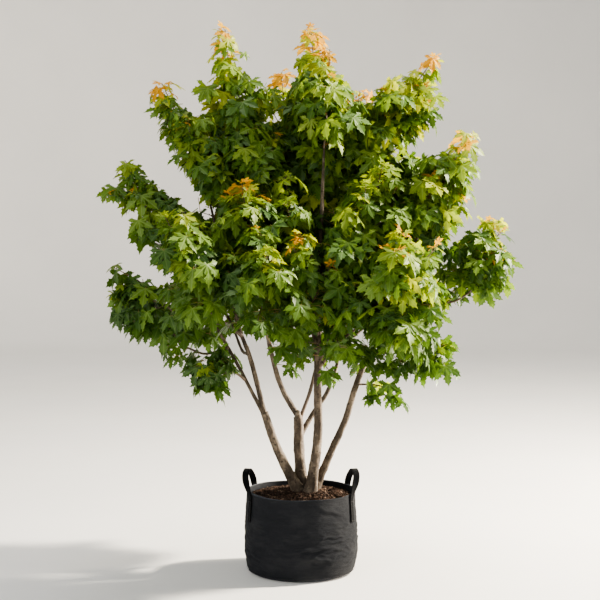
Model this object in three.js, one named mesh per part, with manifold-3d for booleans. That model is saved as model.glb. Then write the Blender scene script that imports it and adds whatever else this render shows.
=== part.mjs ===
// A multi-stemmed maple, about 2.5 m tall, growing in a round felt bag with two strap handles.
// Millimetres, +Z up, +X to the right and +Y away from the viewer. The origin is the middle of
// the bag's flat underside.

import * as THREE from "three";
import { mergeVertices } from "three/addons/utils/BufferGeometryUtils.js";
import Module from "manifold-3d";

const wasm = await Module();
wasm.setup();

const GAP = 0.3;

// Bag and soil
const BAG_BASE_RADIUS = 247;
const BAG_BELLY_RADIUS = 256;
const BAG_BELLY_HEIGHT = 94;
const BAG_SHOULDER_RADIUS = 254;
const BAG_SHOULDER_HEIGHT = 225;
const BAG_RIM_RADIUS = 246;
const BAG_HEIGHT = 375;
const BAG_CORNER = 26;
const BAG_CORNER_STEPS = 3;
const BAG_WALL = 5;
const ROUND_SEGMENTS = 32;
const SOIL_EDGE_HEIGHT = 345;
const SOIL_TOP = 366;
const SOIL_TOP_RADIUS = 95;

// Strap handles, one on each side
const STRAP_WIDTH = 30;
const STRAP_THICKNESS = 4;
// Middle of the wall facet that a leg is sewn to
const STRAP_LEG_ANGLE = 28.125;
const STRAP_SEWN_FROM = 250;
const STRAP_SEWN_TO = 345;
const LOOP_TOP = 466;
const LOOP_LEAN = 5;
const LEG_STEPS = 3;
const LOOP_STEPS = 12;

// Stems: from the soil to a fork or tip. Radii are at the foot and at the end.
const FOOT_Z = SOIL_TOP + GAP;
const FLARE = 0.28;
const FLARE_HEIGHT = 45;
const STEM_SIDES = 8;
const BOUGH_SIDES = 5;
const STEMS = [
  {
    name: "stem_centre", radii: [21.5, 5],
    through: [
      [46, -22, FOOT_Z], [70, -42, 611], [74, -80, 909],
      [81, -105, 1259], [92, -110, 1631], [103, -110, 1930],
    ],
  },
  {
    name: "stem_left", radii: [20, 16.5],
    through: [[-4, 6, FOOT_Z], [-62, -8, 490], [-117, -20, 618], [-163, -30, 735]],
  },
  { name: "stem_back", radii: [23, 21], through: [[4, 52, FOOT_Z], [-4, 46, 540], [-12, 38, 705]] },
  {
    name: "stem_right", radii: [17, 11],
    through: [[62, 36, FOOT_Z], [129, 32, 521], [203, 22, 690], [257, 4, 868], [327, -14, 1045]],
  },
];

// Boughs: each grows from a place on another limb, given as a share of the way along it, and
// ends where it enters its mass.
const BOUGHS = [
  {
    name: "bough_left_rising", from: ["stem_left", 1], radii: [12.5, 7],
    through: [[-226, -60, 975], [-280, -80, 1130], [-345, -68, 1400]],
  },
  {
    name: "bough_left_outer", from: ["stem_left", 0.9], radii: [9, 5.5],
    through: [[-244, -62, 875], [-350, -95, 1080], [-470, -110, 1270], [-540, -100, 1385]],
  },
  {
    name: "bough_far_left", from: ["bough_left_outer", 0.6], radii: [5.5, 4.5],
    through: [[-490, -110, 1160], [-570, -112, 1200]],
  },
  {
    name: "bough_low_left", from: ["bough_left_outer", 0.45], radii: [6, 4.5],
    through: [[-430, -80, 1010], [-520, -75, 1040]],
  },
  {
    name: "bough_low_front_left", from: ["bough_left_outer", 0.27], radii: [5.5, 4.5],
    through: [[-300, -120, 930], [-350, -165, 930]],
  },
  {
    name: "bough_left_front", from: ["bough_left_rising", 0.6], radii: [7, 5],
    through: [[-330, -165, 1150], [-400, -250, 1210]],
  },
  {
    name: "bough_back_left", from: ["bough_left_rising", 0.4], radii: [8, 5.5],
    through: [[-270, 70, 1010], [-320, 240, 1100]],
  },
  {
    name: "bough_front", from: ["stem_back", 1], radii: [14, 8],
    through: [[-88, 6, 851], [-145, -50, 1061], [-166, -125, 1240]],
  },
  {
    name: "bough_low_front", from: ["bough_front", 0.66], radii: [6, 4.5],
    through: [[-150, -150, 1100], [-160, -260, 1120]],
  },
  {
    name: "bough_behind_centre", from: ["stem_back", 0.9], radii: [9, 6],
    through: [[47, 75, 842], [80, 110, 1000], [110, 120, 1400]],
  },
  {
    name: "bough_top_middle", from: ["bough_behind_centre", 0.85], radii: [6, 5],
    through: [[70, 140, 1390], [20, 165, 1540]],
  },
  {
    name: "bough_back_centre", from: ["bough_behind_centre", 0.67], radii: [7, 5.5],
    through: [[80, 200, 1130], [70, 330, 1210]],
  },
  {
    name: "bough_back_rising", from: ["stem_back", 0.7], radii: [13, 7],
    through: [[47, 82, 700], [130, 95, 830], [178, 120, 994], [264, 122, 1600]],
  },
  {
    name: "bough_top_right", from: ["bough_back_rising", 0.88], radii: [6, 5],
    through: [[212, 165, 1440], [222, 185, 1560]],
  },
  {
    name: "bough_back_right", from: ["bough_back_rising", 0.75], radii: [7, 5.5],
    through: [[250, 220, 1060], [330, 300, 1120]],
  },
  {
    name: "bough_right_rising", from: ["stem_right", 1], radii: [10, 7],
    through: [[420, -35, 1290], [465, -40, 1400]],
  },
  {
    name: "bough_right_back", from: ["bough_right_rising", 0.5], radii: [6, 5],
    through: [[435, 30, 1370], [460, 70, 1430]],
  },
  {
    name: "bough_far_right", from: ["bough_right_rising", 0.2], radii: [7, 5],
    through: [[500, -30, 1170], [600, -24, 1225], [680, -16, 1300]],
  },
  {
    name: "bough_right_edge", from: ["bough_far_right", 0.66], radii: [5, 4.5],
    through: [[690, -60, 1195], [750, -70, 1215]],
  },
  {
    name: "bough_low_right", from: ["stem_right", 0.93], radii: [6, 4.5],
    through: [[390, -20, 1010], [480, -40, 1025]],
  },
  {
    name: "bough_low_front_right", from: ["stem_right", 0.88], radii: [6, 4.5],
    through: [[350, -130, 1020], [400, -220, 1060]],
  },
  {
    name: "bough_front_right", from: ["stem_centre", 0.42], radii: [7, 5],
    through: [[180, -200, 1080], [270, -270, 1160]],
  },
  {
    name: "bough_top_left", from: ["stem_centre", 0.45], radii: [8, 6],
    through: [[20, -80, 1250], [-60, -45, 1440]],
  },
];

// Foliage: each mass is a leafy shoot from a limb's tip (share 1) or the side of a stem, by way of
// a bend where it has one, out to its own tip. Spread is how far it stands out at its fullest.
const MASSES = [
  {
    name: "foliage_upper_left", from: ["bough_left_rising", 1],
    by: [-450, -30, 1830], tip: [-628, 0, 2230], spread: 270,
  },
  {
    name: "foliage_left", from: ["bough_left_outer", 1],
    by: [-655, -80, 1660], tip: [-790, -60, 1880], spread: 250,
  },
  {
    name: "foliage_far_left", from: ["bough_far_left", 1],
    by: [-700, -100, 1320], tip: [-840, -80, 1400], spread: 190,
  },
  {
    name: "foliage_low_left", from: ["bough_low_left", 1],
    by: [-700, -70, 1225], tip: [-840, -60, 1270], spread: 185,
  },
  {
    name: "foliage_low_front_left", from: ["bough_low_front_left", 1],
    by: [-400, -205, 965], tip: [-440, -240, 935], spread: 165,
  },
  {
    name: "foliage_left_front", from: ["bough_left_front", 1],
    by: [-470, -360, 1400], tip: [-500, -430, 1640], spread: 320,
  },
  {
    name: "foliage_back_left", from: ["bough_back_left", 1],
    by: [-440, 400, 1350], tip: [-500, 470, 1720], spread: 350,
  },
  {
    name: "foliage_front", from: ["bough_front", 1],
    by: [-220, -235, 1500], tip: [-253, -330, 1765], spread: 270,
  },
  {
    name: "foliage_low_front", from: ["bough_low_front", 1],
    by: [-180, -380, 1340], tip: [-200, -460, 1470], spread: 280,
  },
  {
    name: "foliage_top_left", from: ["bough_top_left", 1],
    by: [-265, 10, 1860], tip: [-345, 0, 2440], spread: 305,
  },
  {
    name: "foliage_top_middle", from: ["bough_top_middle", 1],
    by: [-50, 200, 1900], tip: [-92, 220, 2300], spread: 260,
  },
  {
    name: "foliage_top_back", from: ["bough_behind_centre", 1],
    by: [90, 100, 1950], tip: [46, 60, 2460], spread: 230,
  },
  {
    name: "foliage_top_centre", from: ["stem_centre", 1],
    by: [118, -108, 2150], tip: [128, -100, 2370], spread: 220,
  },
  {
    name: "foliage_top_right", from: ["bough_top_right", 1],
    by: [250, 215, 1900], tip: [275, 230, 2215], spread: 265,
  },
  {
    name: "foliage_upper_right", from: ["bough_back_rising", 1],
    by: [375, 95, 2010], tip: [606, 30, 2345], spread: 290,
  },
  {
    name: "foliage_right_back", from: ["bough_right_back", 1],
    by: [510, 180, 1660], tip: [570, 220, 1900], spread: 320,
  },
  {
    name: "foliage_right_rising", from: ["bough_right_rising", 1],
    by: [610, -52, 1720], tip: [755, -60, 2000], spread: 240,
  },
  {
    name: "foliage_far_right", from: ["bough_far_right", 1],
    by: [790, -8, 1470], tip: [880, 0, 1620], spread: 190,
  },
  {
    name: "foliage_right_edge", from: ["bough_right_edge", 1],
    by: [835, -70, 1370], tip: [900, -60, 1470], spread: 165,
  },
  {
    name: "foliage_low_right", from: ["bough_low_right", 1],
    by: [600, -55, 1040], tip: [720, -60, 1030], spread: 220,
  },
  {
    name: "foliage_low_front_right", from: ["bough_low_front_right", 1],
    by: [480, -310, 1210], tip: [560, -360, 1300], spread: 280,
  },
  {
    name: "foliage_front_right", from: ["bough_front_right", 1],
    by: [400, -360, 1350], tip: [470, -390, 1530], spread: 290,
  },
  {
    name: "foliage_back_centre", from: ["bough_back_centre", 1],
    by: [60, 450, 1500], tip: [60, 500, 1950], spread: 360,
  },
  {
    name: "foliage_back_right", from: ["bough_back_right", 1],
    by: [460, 400, 1350], tip: [540, 450, 1680], spread: 340,
  },
  {
    name: "foliage_front_centre", from: ["stem_centre", 0.5],
    by: [40, -280, 1330], tip: [0, -390, 1545], spread: 270,
  },
  {
    name: "foliage_low_centre", from: ["stem_centre", 0.42],
    by: [160, -230, 1200], tip: [230, -330, 1340], spread: 260,
  },
  {
    name: "foliage_centre_left", from: ["stem_centre", 0.58],
    by: [-10, -150, 1450], tip: [-70, -170, 1800], spread: 290,
  },
  {
    name: "foliage_centre_right", from: ["stem_centre", 0.62],
    by: [250, -140, 1520], tip: [365, -150, 1850], spread: 330,
  },
  {
    name: "foliage_sprig", from: ["stem_right", 0.72],
    by: [330, -20, 900], tip: [395, -40, 925], spread: 80,
  },
];

// Shoots, twigs and leaves
const SEED = 7100;
const WHORL_SHARE = 0.4;
const TWIG_RADIUS = 4.5;
const SHORT_TWIG = 60;
const TWIG_PAIR_SPACING = 90;
const TWIG_ANGLE_LOW = 68;
const TWIG_ANGLE_HIGH = 38;
const TWIG_RISE = 0.2;
const LEAF_LENGTH = 240;
const LEAF_SHARE = 0.8;
const LEAF_LEAST = 165;
const YOUNG_LEAF = 0.5;
const CROWN_LEAF = 0.38;
const PETIOLE = 0.33;
const LEAF_DROOP_LOW = 60;
const LEAF_DROOP_TIP = 42;
const LEAF_DROOP_CROWN = -50;
const LEAF_DROOP_SPREAD = 45;
const LEAF_SWING = 1.6;
const LEAF_ROLL = 1.2;
const LEAF_OVERHANG = 0.65;
const SIDE_LEAF_FORWARD = 0.4;
const TWIG_LEAST_REACH = 0.8;
const TWIG_REACH_SPREAD = 0.3;
const PAIR_TURN_SPREAD = 0.5;
const LEAF_LEAST_SIZE = 0.85;
const LEAF_SIZE_SPREAD = 0.25;
const CROWN_LEAVES = 2;
const CROWN_LEAF_TURN = 3;
const LEAF_THICKNESS = 0.016;
const LEAF_TRIES = 9;
const LEAF_TRY_SHRINK = 0.4;
const SPACE_MARGIN = 2;
const SPACE_SHARE = 0.7;
// Half outline of a leaf from its petiole to its tip, as shares of its length, and its thickest
// place
const LEAF_HALF = [[0.02, 0.04], [0.1, 0.5], [0.42, 0.22]];
const LEAF_MIDDLE = 0.28;
const NODE_LENGTH = 9;
const SEAT_FACING = 0.35;

const BARK = { color: 0x8b7a66, roughness: 0.85, metalness: 0 };
const LEAF_GREEN = { color: 0x4f7a24, roughness: 0.6, metalness: 0 };
const FELT = { color: 0x26272a, roughness: 0.95, metalness: 0 };
const SOIL = { color: 0x3b2a20, roughness: 1, metalness: 0 };

const UP = new THREE.Vector3(0, 0, 1);
const radians = THREE.MathUtils.degToRad;
const vector = (point) => new THREE.Vector3(...point);

// Closed body from rings of points that run anticlockwise round the way from first to last
function ringsToSolid(rings) {
  const sides = rings[0].length;
  const middle = (ring) => ring.reduce((sum, p) => sum.add(p), new THREE.Vector3()).divideScalar(sides);
  const points = [...rings.flat(), middle(rings[0]), middle(rings.at(-1))];
  const first = points.length - 2;
  const triangles = [];
  for (let k = 0; k < sides; k += 1) {
    const next = (k + 1) % sides;
    for (let row = 0; row < rings.length - 1; row += 1) {
      const low = row * sides;
      const high = low + sides;
      triangles.push(low + k, low + next, high + next);
      triangles.push(low + k, high + next, high + k);
    }
    const last = (rings.length - 1) * sides;
    triangles.push(next, k, first);
    triangles.push(last + k, last + next, first + 1);
  }
  return solidOf(points, triangles);
}

function solidOf(points, triangles) {
  const vertProperties = new Float32Array(points.flatMap((p) => [p.x, p.y, p.z]));
  const triVerts = new Uint32Array(triangles);
  return new wasm.Manifold(new wasm.Mesh({ numProp: 3, vertProperties, triVerts }));
}

function geometrySolid(geometry) {
  geometry.deleteAttribute("normal");
  geometry.deleteAttribute("uv");
  const merged = mergeVertices(geometry, 1e-4);
  const triVerts = new Uint32Array(merged.index.array);
  const vertProperties = new Float32Array(merged.attributes.position.array);
  return new wasm.Manifold(new wasm.Mesh({ numProp: 3, vertProperties, triVerts }));
}

function meshOf(name, solid, finish) {
  const { vertProperties, triVerts } = solid.getMesh();
  const geometry = new THREE.BufferGeometry();
  geometry.setAttribute("position", new THREE.BufferAttribute(vertProperties, 3));
  geometry.setIndex(new THREE.BufferAttribute(triVerts, 1));
  geometry.computeVertexNormals();
  const mesh = new THREE.Mesh(geometry, new THREE.MeshStandardMaterial(finish));
  mesh.name = name;
  return mesh;
}

// The main body of a cut piece, without loose scraps
function largest(solid) {
  return solid.decompose().reduce((best, piece) => (piece.volume() > best.volume() ? piece : best));
}

function curveThrough(points) {
  return new THREE.CatmullRomCurve3(points, false, "catmullrom", 0.5);
}

// Rings of points square to the curve, with a level first ring where the limb stands on soil
function tubeRings(curve, radiusAt, sides, steps, levelFoot = false) {
  const rings = [];
  let across = null;
  for (let i = 0; i <= steps; i += 1) {
    const share = i / steps;
    const ahead = levelFoot && i === 0 ? UP.clone() : curve.getTangent(share);
    if (!across) {
      across = new THREE.Vector3(Math.abs(ahead.x) < 0.9 ? 1 : 0, Math.abs(ahead.x) < 0.9 ? 0 : 1, 0);
    }
    across = across.clone().addScaledVector(ahead, -across.dot(ahead)).normalize();
    const second = ahead.clone().cross(across);
    const centre = curve.getPoint(share);
    const ring = [];
    for (let k = 0; k < sides; k += 1) {
      const angle = (2 * Math.PI * k) / sides;
      const point = centre.clone();
      point.addScaledVector(across, radiusAt(share) * Math.cos(angle));
      point.addScaledVector(second, radiusAt(share) * Math.sin(angle));
      ring.push(point);
    }
    rings.push(ring);
  }
  return rings;
}

function bag() {
  const outline = [new THREE.Vector2(0, 0)];
  for (let i = 0; i <= BAG_CORNER_STEPS; i += 1) {
    const angle = (Math.PI / 2) * (i / BAG_CORNER_STEPS);
    const radius = BAG_BASE_RADIUS - BAG_CORNER * (1 - Math.sin(angle));
    outline.push(new THREE.Vector2(radius, BAG_CORNER * (1 - Math.cos(angle))));
  }
  outline.push(new THREE.Vector2(BAG_BELLY_RADIUS, BAG_BELLY_HEIGHT));
  outline.push(new THREE.Vector2(BAG_SHOULDER_RADIUS, BAG_SHOULDER_HEIGHT));
  outline.push(new THREE.Vector2(BAG_RIM_RADIUS, BAG_HEIGHT));
  outline.push(new THREE.Vector2(BAG_RIM_RADIUS - BAG_WALL, BAG_HEIGHT));
  outline.push(new THREE.Vector2(BAG_SHOULDER_RADIUS - BAG_WALL, BAG_SHOULDER_HEIGHT));
  outline.push(new THREE.Vector2(BAG_BELLY_RADIUS - BAG_WALL, BAG_BELLY_HEIGHT));
  outline.push(new THREE.Vector2(BAG_BASE_RADIUS - BAG_WALL, BAG_CORNER));
  outline.push(new THREE.Vector2(BAG_BASE_RADIUS - BAG_CORNER, BAG_WALL));
  outline.push(new THREE.Vector2(0, BAG_WALL));
  return geometrySolid(new THREE.LatheGeometry(outline, ROUND_SEGMENTS).rotateX(Math.PI / 2));
}

// Radius of the bag's outside at a height between its shoulder and its rim
function wallRadius(height) {
  const share = (height - BAG_SHOULDER_HEIGHT) / (BAG_HEIGHT - BAG_SHOULDER_HEIGHT);
  return THREE.MathUtils.lerp(BAG_SHOULDER_RADIUS, BAG_RIM_RADIUS, share);
}

function soil() {
  const clear = BAG_WALL + GAP * 2;
  const floor = BAG_WALL + GAP;
  const outline = [
    new THREE.Vector2(0, floor),
    new THREE.Vector2(BAG_BASE_RADIUS - BAG_CORNER - 1, floor),
    new THREE.Vector2(BAG_BASE_RADIUS - clear, BAG_CORNER + 1),
    new THREE.Vector2(BAG_BELLY_RADIUS - clear, BAG_BELLY_HEIGHT),
    new THREE.Vector2(BAG_SHOULDER_RADIUS - clear, BAG_SHOULDER_HEIGHT),
    new THREE.Vector2(wallRadius(SOIL_EDGE_HEIGHT) - clear, SOIL_EDGE_HEIGHT),
    new THREE.Vector2(SOIL_TOP_RADIUS, SOIL_TOP),
    new THREE.Vector2(0, SOIL_TOP),
  ];
  return geometrySolid(new THREE.LatheGeometry(outline, ROUND_SEGMENTS).rotateX(Math.PI / 2));
}

// One handle: two legs sewn flat to the wall and a loop that turns from facing outward on the
// legs to facing upward at its top
function handle(side) {
  const stations = [];
  for (let i = 0; i <= LEG_STEPS; i += 1) {
    const height = THREE.MathUtils.lerp(STRAP_SEWN_FROM, STRAP_SEWN_TO, i / LEG_STEPS);
    const radius = wallRadius(height) * Math.cos(Math.PI / ROUND_SEGMENTS) + STRAP_THICKNESS / 2 + GAP;
    stations.push({ radius, angle: STRAP_LEG_ANGLE, height, turn: 0, rise: 1 });
  }
  const foot = stations.at(-1);
  for (let i = 1; i <= LOOP_STEPS / 2; i += 1) {
    const sweep = (Math.PI / 2) * (i / (LOOP_STEPS / 2));
    stations.push({
      radius: foot.radius + LOOP_LEAN * Math.sin(sweep),
      angle: STRAP_LEG_ANGLE * Math.cos(sweep) ** 0.8,
      height: foot.height + (LOOP_TOP - foot.height) * Math.sin(sweep),
      turn: Math.sin(sweep) ** 2,
      rise: Math.cos(sweep),
    });
  }
  const mirrored = stations.slice(0, -1).reverse();
  const secondHalf = mirrored.map((s) => ({ ...s, angle: -s.angle, rise: -s.rise }));
  const rings = [...stations, ...secondHalf].map((s) => {
    const angle = radians(s.angle);
    const outward = new THREE.Vector3(side * Math.cos(angle), -Math.sin(angle), 0);
    const onward = new THREE.Vector3(side * Math.sin(angle), Math.cos(angle), 0);
    const ahead = onward.clone().multiplyScalar(Math.sqrt(1 - s.rise * s.rise)).addScaledVector(UP, s.rise);
    const flat = onward.clone().multiplyScalar(1 - s.turn).addScaledVector(outward, s.turn);
    flat.addScaledVector(ahead, -flat.dot(ahead)).normalize();
    const face = ahead.clone().cross(flat);
    const centre = outward.clone().multiplyScalar(s.radius).setZ(s.height);
    const corner = (a, b) => {
      const edge = centre.clone().addScaledVector(flat, (a * STRAP_WIDTH) / 2);
      return edge.addScaledVector(face, (b * STRAP_THICKNESS) / 2);
    };
    return [corner(-1, -1), corner(1, -1), corner(1, 1), corner(-1, 1)];
  });
  return ringsToSolid(rings);
}

// Numbers from 0 to 1, the same each time for one seed
function seeded(seed) {
  let state = seed >>> 0;
  return () => {
    state = (state + 0x6d2b79f5) >>> 0;
    let mixed = Math.imul(state ^ (state >>> 15), state | 1);
    mixed ^= mixed + Math.imul(mixed ^ (mixed >>> 7), mixed | 61);
    return ((mixed ^ (mixed >>> 14)) >>> 0) / 4294967296;
  };
}

const limbs = new Map();

function addLimb(name, points, radii, options) {
  const { sides, steps, standing } = options;
  const curve = curveThrough(points);
  const flare = (share) => 1 + FLARE * Math.exp((-share * curve.getLength()) / FLARE_HEIGHT);
  const taper = (share) => THREE.MathUtils.lerp(radii[0], radii[1], share);
  const radiusAt = (share) => (standing ? taper(share) * flare(share) : taper(share));
  const tube = (extra) =>
    ringsToSolid(tubeRings(curve, (share) => radiusAt(share) + extra, sides, steps, standing));
  let solid = tube(0);
  for (const other of limbs.values()) {
    solid = solid.subtract(other.grown);
  }
  limbs.set(name, { curve, endRadius: radii[1], solid: largest(solid), grown: tube(GAP) });
}

// Where a shoot starts: just clear of a limb's tip, or on the axis of the limb it is cut back from
function startOn([name, share]) {
  const { curve } = limbs.get(name);
  const start = curve.getPoint(share);
  return share === 1 ? start.addScaledVector(curve.getTangent(1), GAP) : start;
}

for (const stem of STEMS) {
  const points = stem.through.map(vector);
  addLimb(stem.name, points, stem.radii, { sides: STEM_SIDES, steps: points.length * 3, standing: true });
}
for (const bough of BOUGHS) {
  const points = [startOn(bough.from), ...bough.through.map(vector)];
  const steps = points.length + 1;
  addLimb(bough.name, points, bough.radii, { sides: BOUGH_SIDES, steps, standing: false });
}

// The space that a mass keeps to: the points that lie nearer its shoot than any other mass's,
// each distance less that mass's spread
for (const mass of MASSES) {
  const start = startOn(mass.from);
  const tip = vector(mass.tip);
  const bend = vector(mass.by);
  mass.lines = [new THREE.Line3(start, bend), new THREE.Line3(bend, tip)];
  mass.curve = curveThrough([start, bend, tip]);
}

function spaceDistance(point, mass) {
  const nearest = new THREE.Vector3();
  const distances = mass.lines.map((line) => {
    line.closestPointToPoint(point, true, nearest);
    return nearest.distanceTo(point);
  });
  return Math.min(...distances) - mass.spread * SPACE_SHARE;
}

function keepsToSpace(points, mass) {
  return points.every((point) => {
    const own = spaceDistance(point, mass) + SPACE_MARGIN;
    return MASSES.every((other) => other === mass || own < spaceDistance(point, other));
  });
}

function clearOfLimbs(solid) {
  return [...limbs.values()].every((limb) => limb.grown.intersect(solid).isEmpty());
}

// Outline of a leaf and its two middles, and solids that tell what it would touch
function leafShape({ root, along, side, size }) {
  const face = along.clone().cross(side);
  const at = (x, y) => {
    const onMidrib = root.clone().addScaledVector(along, (x + PETIOLE) * size);
    return onMidrib.addScaledVector(side, y * size);
  };
  const right = LEAF_HALF.map(([x, y]) => at(x, y));
  const left = LEAF_HALF.map(([x, y]) => at(x, -y));
  const half = (LEAF_THICKNESS * size) / 2;
  const top = at(LEAF_MIDDLE, 0).addScaledVector(face, half);
  const bottom = at(LEAF_MIDDLE, 0).addScaledVector(face, -half);
  const rim = [at(1, 0), ...right.reverse(), null, ...left];
  const solidFrom = (x) => {
    const outline = rim.map((point) => point ?? at(x, 0));
    const count = outline.length;
    const triangles = [];
    for (let k = 0; k < count; k += 1) {
      triangles.push(k, (k + 1) % count, count, (k + 1) % count, k, count + 1);
    }
    return solidOf([...outline, top, bottom], triangles);
  };
  return { rim, top, bottom, face, blade: solidFrom(-PETIOLE / 2), whole: solidFrom(-PETIOLE) };
}

// Direction of a leaf that hangs outward and points down by its droop
function leafPlace(outward, size, sag, random) {
  const flat = outward.clone().setZ(0);
  if (flat.length() < 0.05) {
    flat.set(1, 0, 0).applyAxisAngle(UP, random() * 2 * Math.PI);
  }
  flat.normalize().applyAxisAngle(UP, (random() - 0.5) * LEAF_SWING);
  const droop = radians(sag + (random() - 0.5) * LEAF_DROOP_SPREAD);
  const along = flat.clone().multiplyScalar(Math.cos(droop)).addScaledVector(UP, -Math.sin(droop));
  const side = UP.clone().cross(flat).applyAxisAngle(along, (random() - 0.5) * LEAF_ROLL);
  return { along, side, size };
}

// The closed skin of a mass. Its small triangles at the nodes are seats: a twig or leaf takes the
// place of one and grows out of its three corners.
class Skin {
  points = [];
  faces = new Set();

  addRing(centre, ahead, toward, radius) {
    const across = toward.clone().addScaledVector(ahead, -toward.dot(ahead)).setLength(radius);
    return [0, 1, 2].map((k) => {
      const corner = across.clone().applyAxisAngle(ahead, (k * 2 * Math.PI) / 3).add(centre);
      return this.points.push(corner) - 1;
    });
  }

  addFace(...corners) {
    this.faces.add(corners);
    return corners;
  }

  middle(seat) {
    return seat.reduce((sum, id) => sum.add(this.points[id]), new THREE.Vector3()).divideScalar(3);
  }

  normal(seat) {
    const [a, b, c] = seat.map((id) => this.points[id]);
    return b.clone().sub(a).cross(c.clone().sub(a)).normalize();
  }

  // The free seat that looks most nearly along a direction
  seatToward(seats, direction) {
    const free = seats.filter((seat) => this.faces.has(seat));
    const look = (seat) => this.normal(seat).dot(direction);
    const best = free.reduce((one, two) => (one && look(one) >= look(two) ? one : two), null);
    return best && look(best) > SEAT_FACING ? best : null;
  }

  // Three-sided stalk through rings at the stations, from an open triangle of corners. Returns
  // the seats of each of its steps and its end.
  addStalk(low, stations) {
    const toward = this.points[low[0]].clone().sub(this.middle(low));
    const steps = [];
    for (const { centre, ahead, radius } of stations) {
      const ring = this.addRing(centre, ahead, toward, radius);
      const seats = [];
      for (let k = 0; k < 3; k += 1) {
        const next = (k + 1) % 3;
        seats.push(this.addFace(low[k], low[next], ring[next]));
        seats.push(this.addFace(low[k], ring[next], ring[k]));
      }
      steps.push(seats);
      low = ring;
    }
    return { steps, end: this.addFace(...low) };
  }

  addLeaf(seat, leaf) {
    this.faces.delete(seat);
    const middle = this.middle(seat);
    const heights = seat.map((id) => this.points[id].clone().sub(middle).dot(leaf.face));
    const odd = heights.findIndex((height) => Math.abs(height) === Math.max(...heights.map(Math.abs)));
    const [far, second, third] = [seat[odd], seat[(odd + 1) % 3], seat[(odd + 2) % 3]];
    const above = heights[odd] > 0;
    const [left, right] = above ? [second, third] : [third, second];
    const ids = leaf.rim.map((point) => (point ? this.points.push(point) - 1 : -1));
    const root = ids.indexOf(-1);
    const ring = (roots) => [...ids.slice(0, root), ...roots, ...ids.slice(root + 1)];
    const top = this.points.push(leaf.top) - 1;
    const bottom = this.points.push(leaf.bottom) - 1;
    const upper = ring(above ? [right, far, left] : [right, left]);
    const lower = ring(above ? [right, left] : [right, far, left]);
    upper.forEach((id, k) => this.addFace(id, upper[(k + 1) % upper.length], top));
    lower.forEach((id, k) => this.addFace(lower[(k + 1) % lower.length], id, bottom));
  }

  solid() {
    return solidOf(this.points, [...this.faces].flat());
  }
}

// Shape of a mass along its shoot: full low down, drawn in to the tip
function fullness(share) {
  return 0.6 + 0.4 * Math.sin(Math.PI * Math.min(1, share * 1.15 + 0.1)) - 0.3 * share * share;
}

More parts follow.
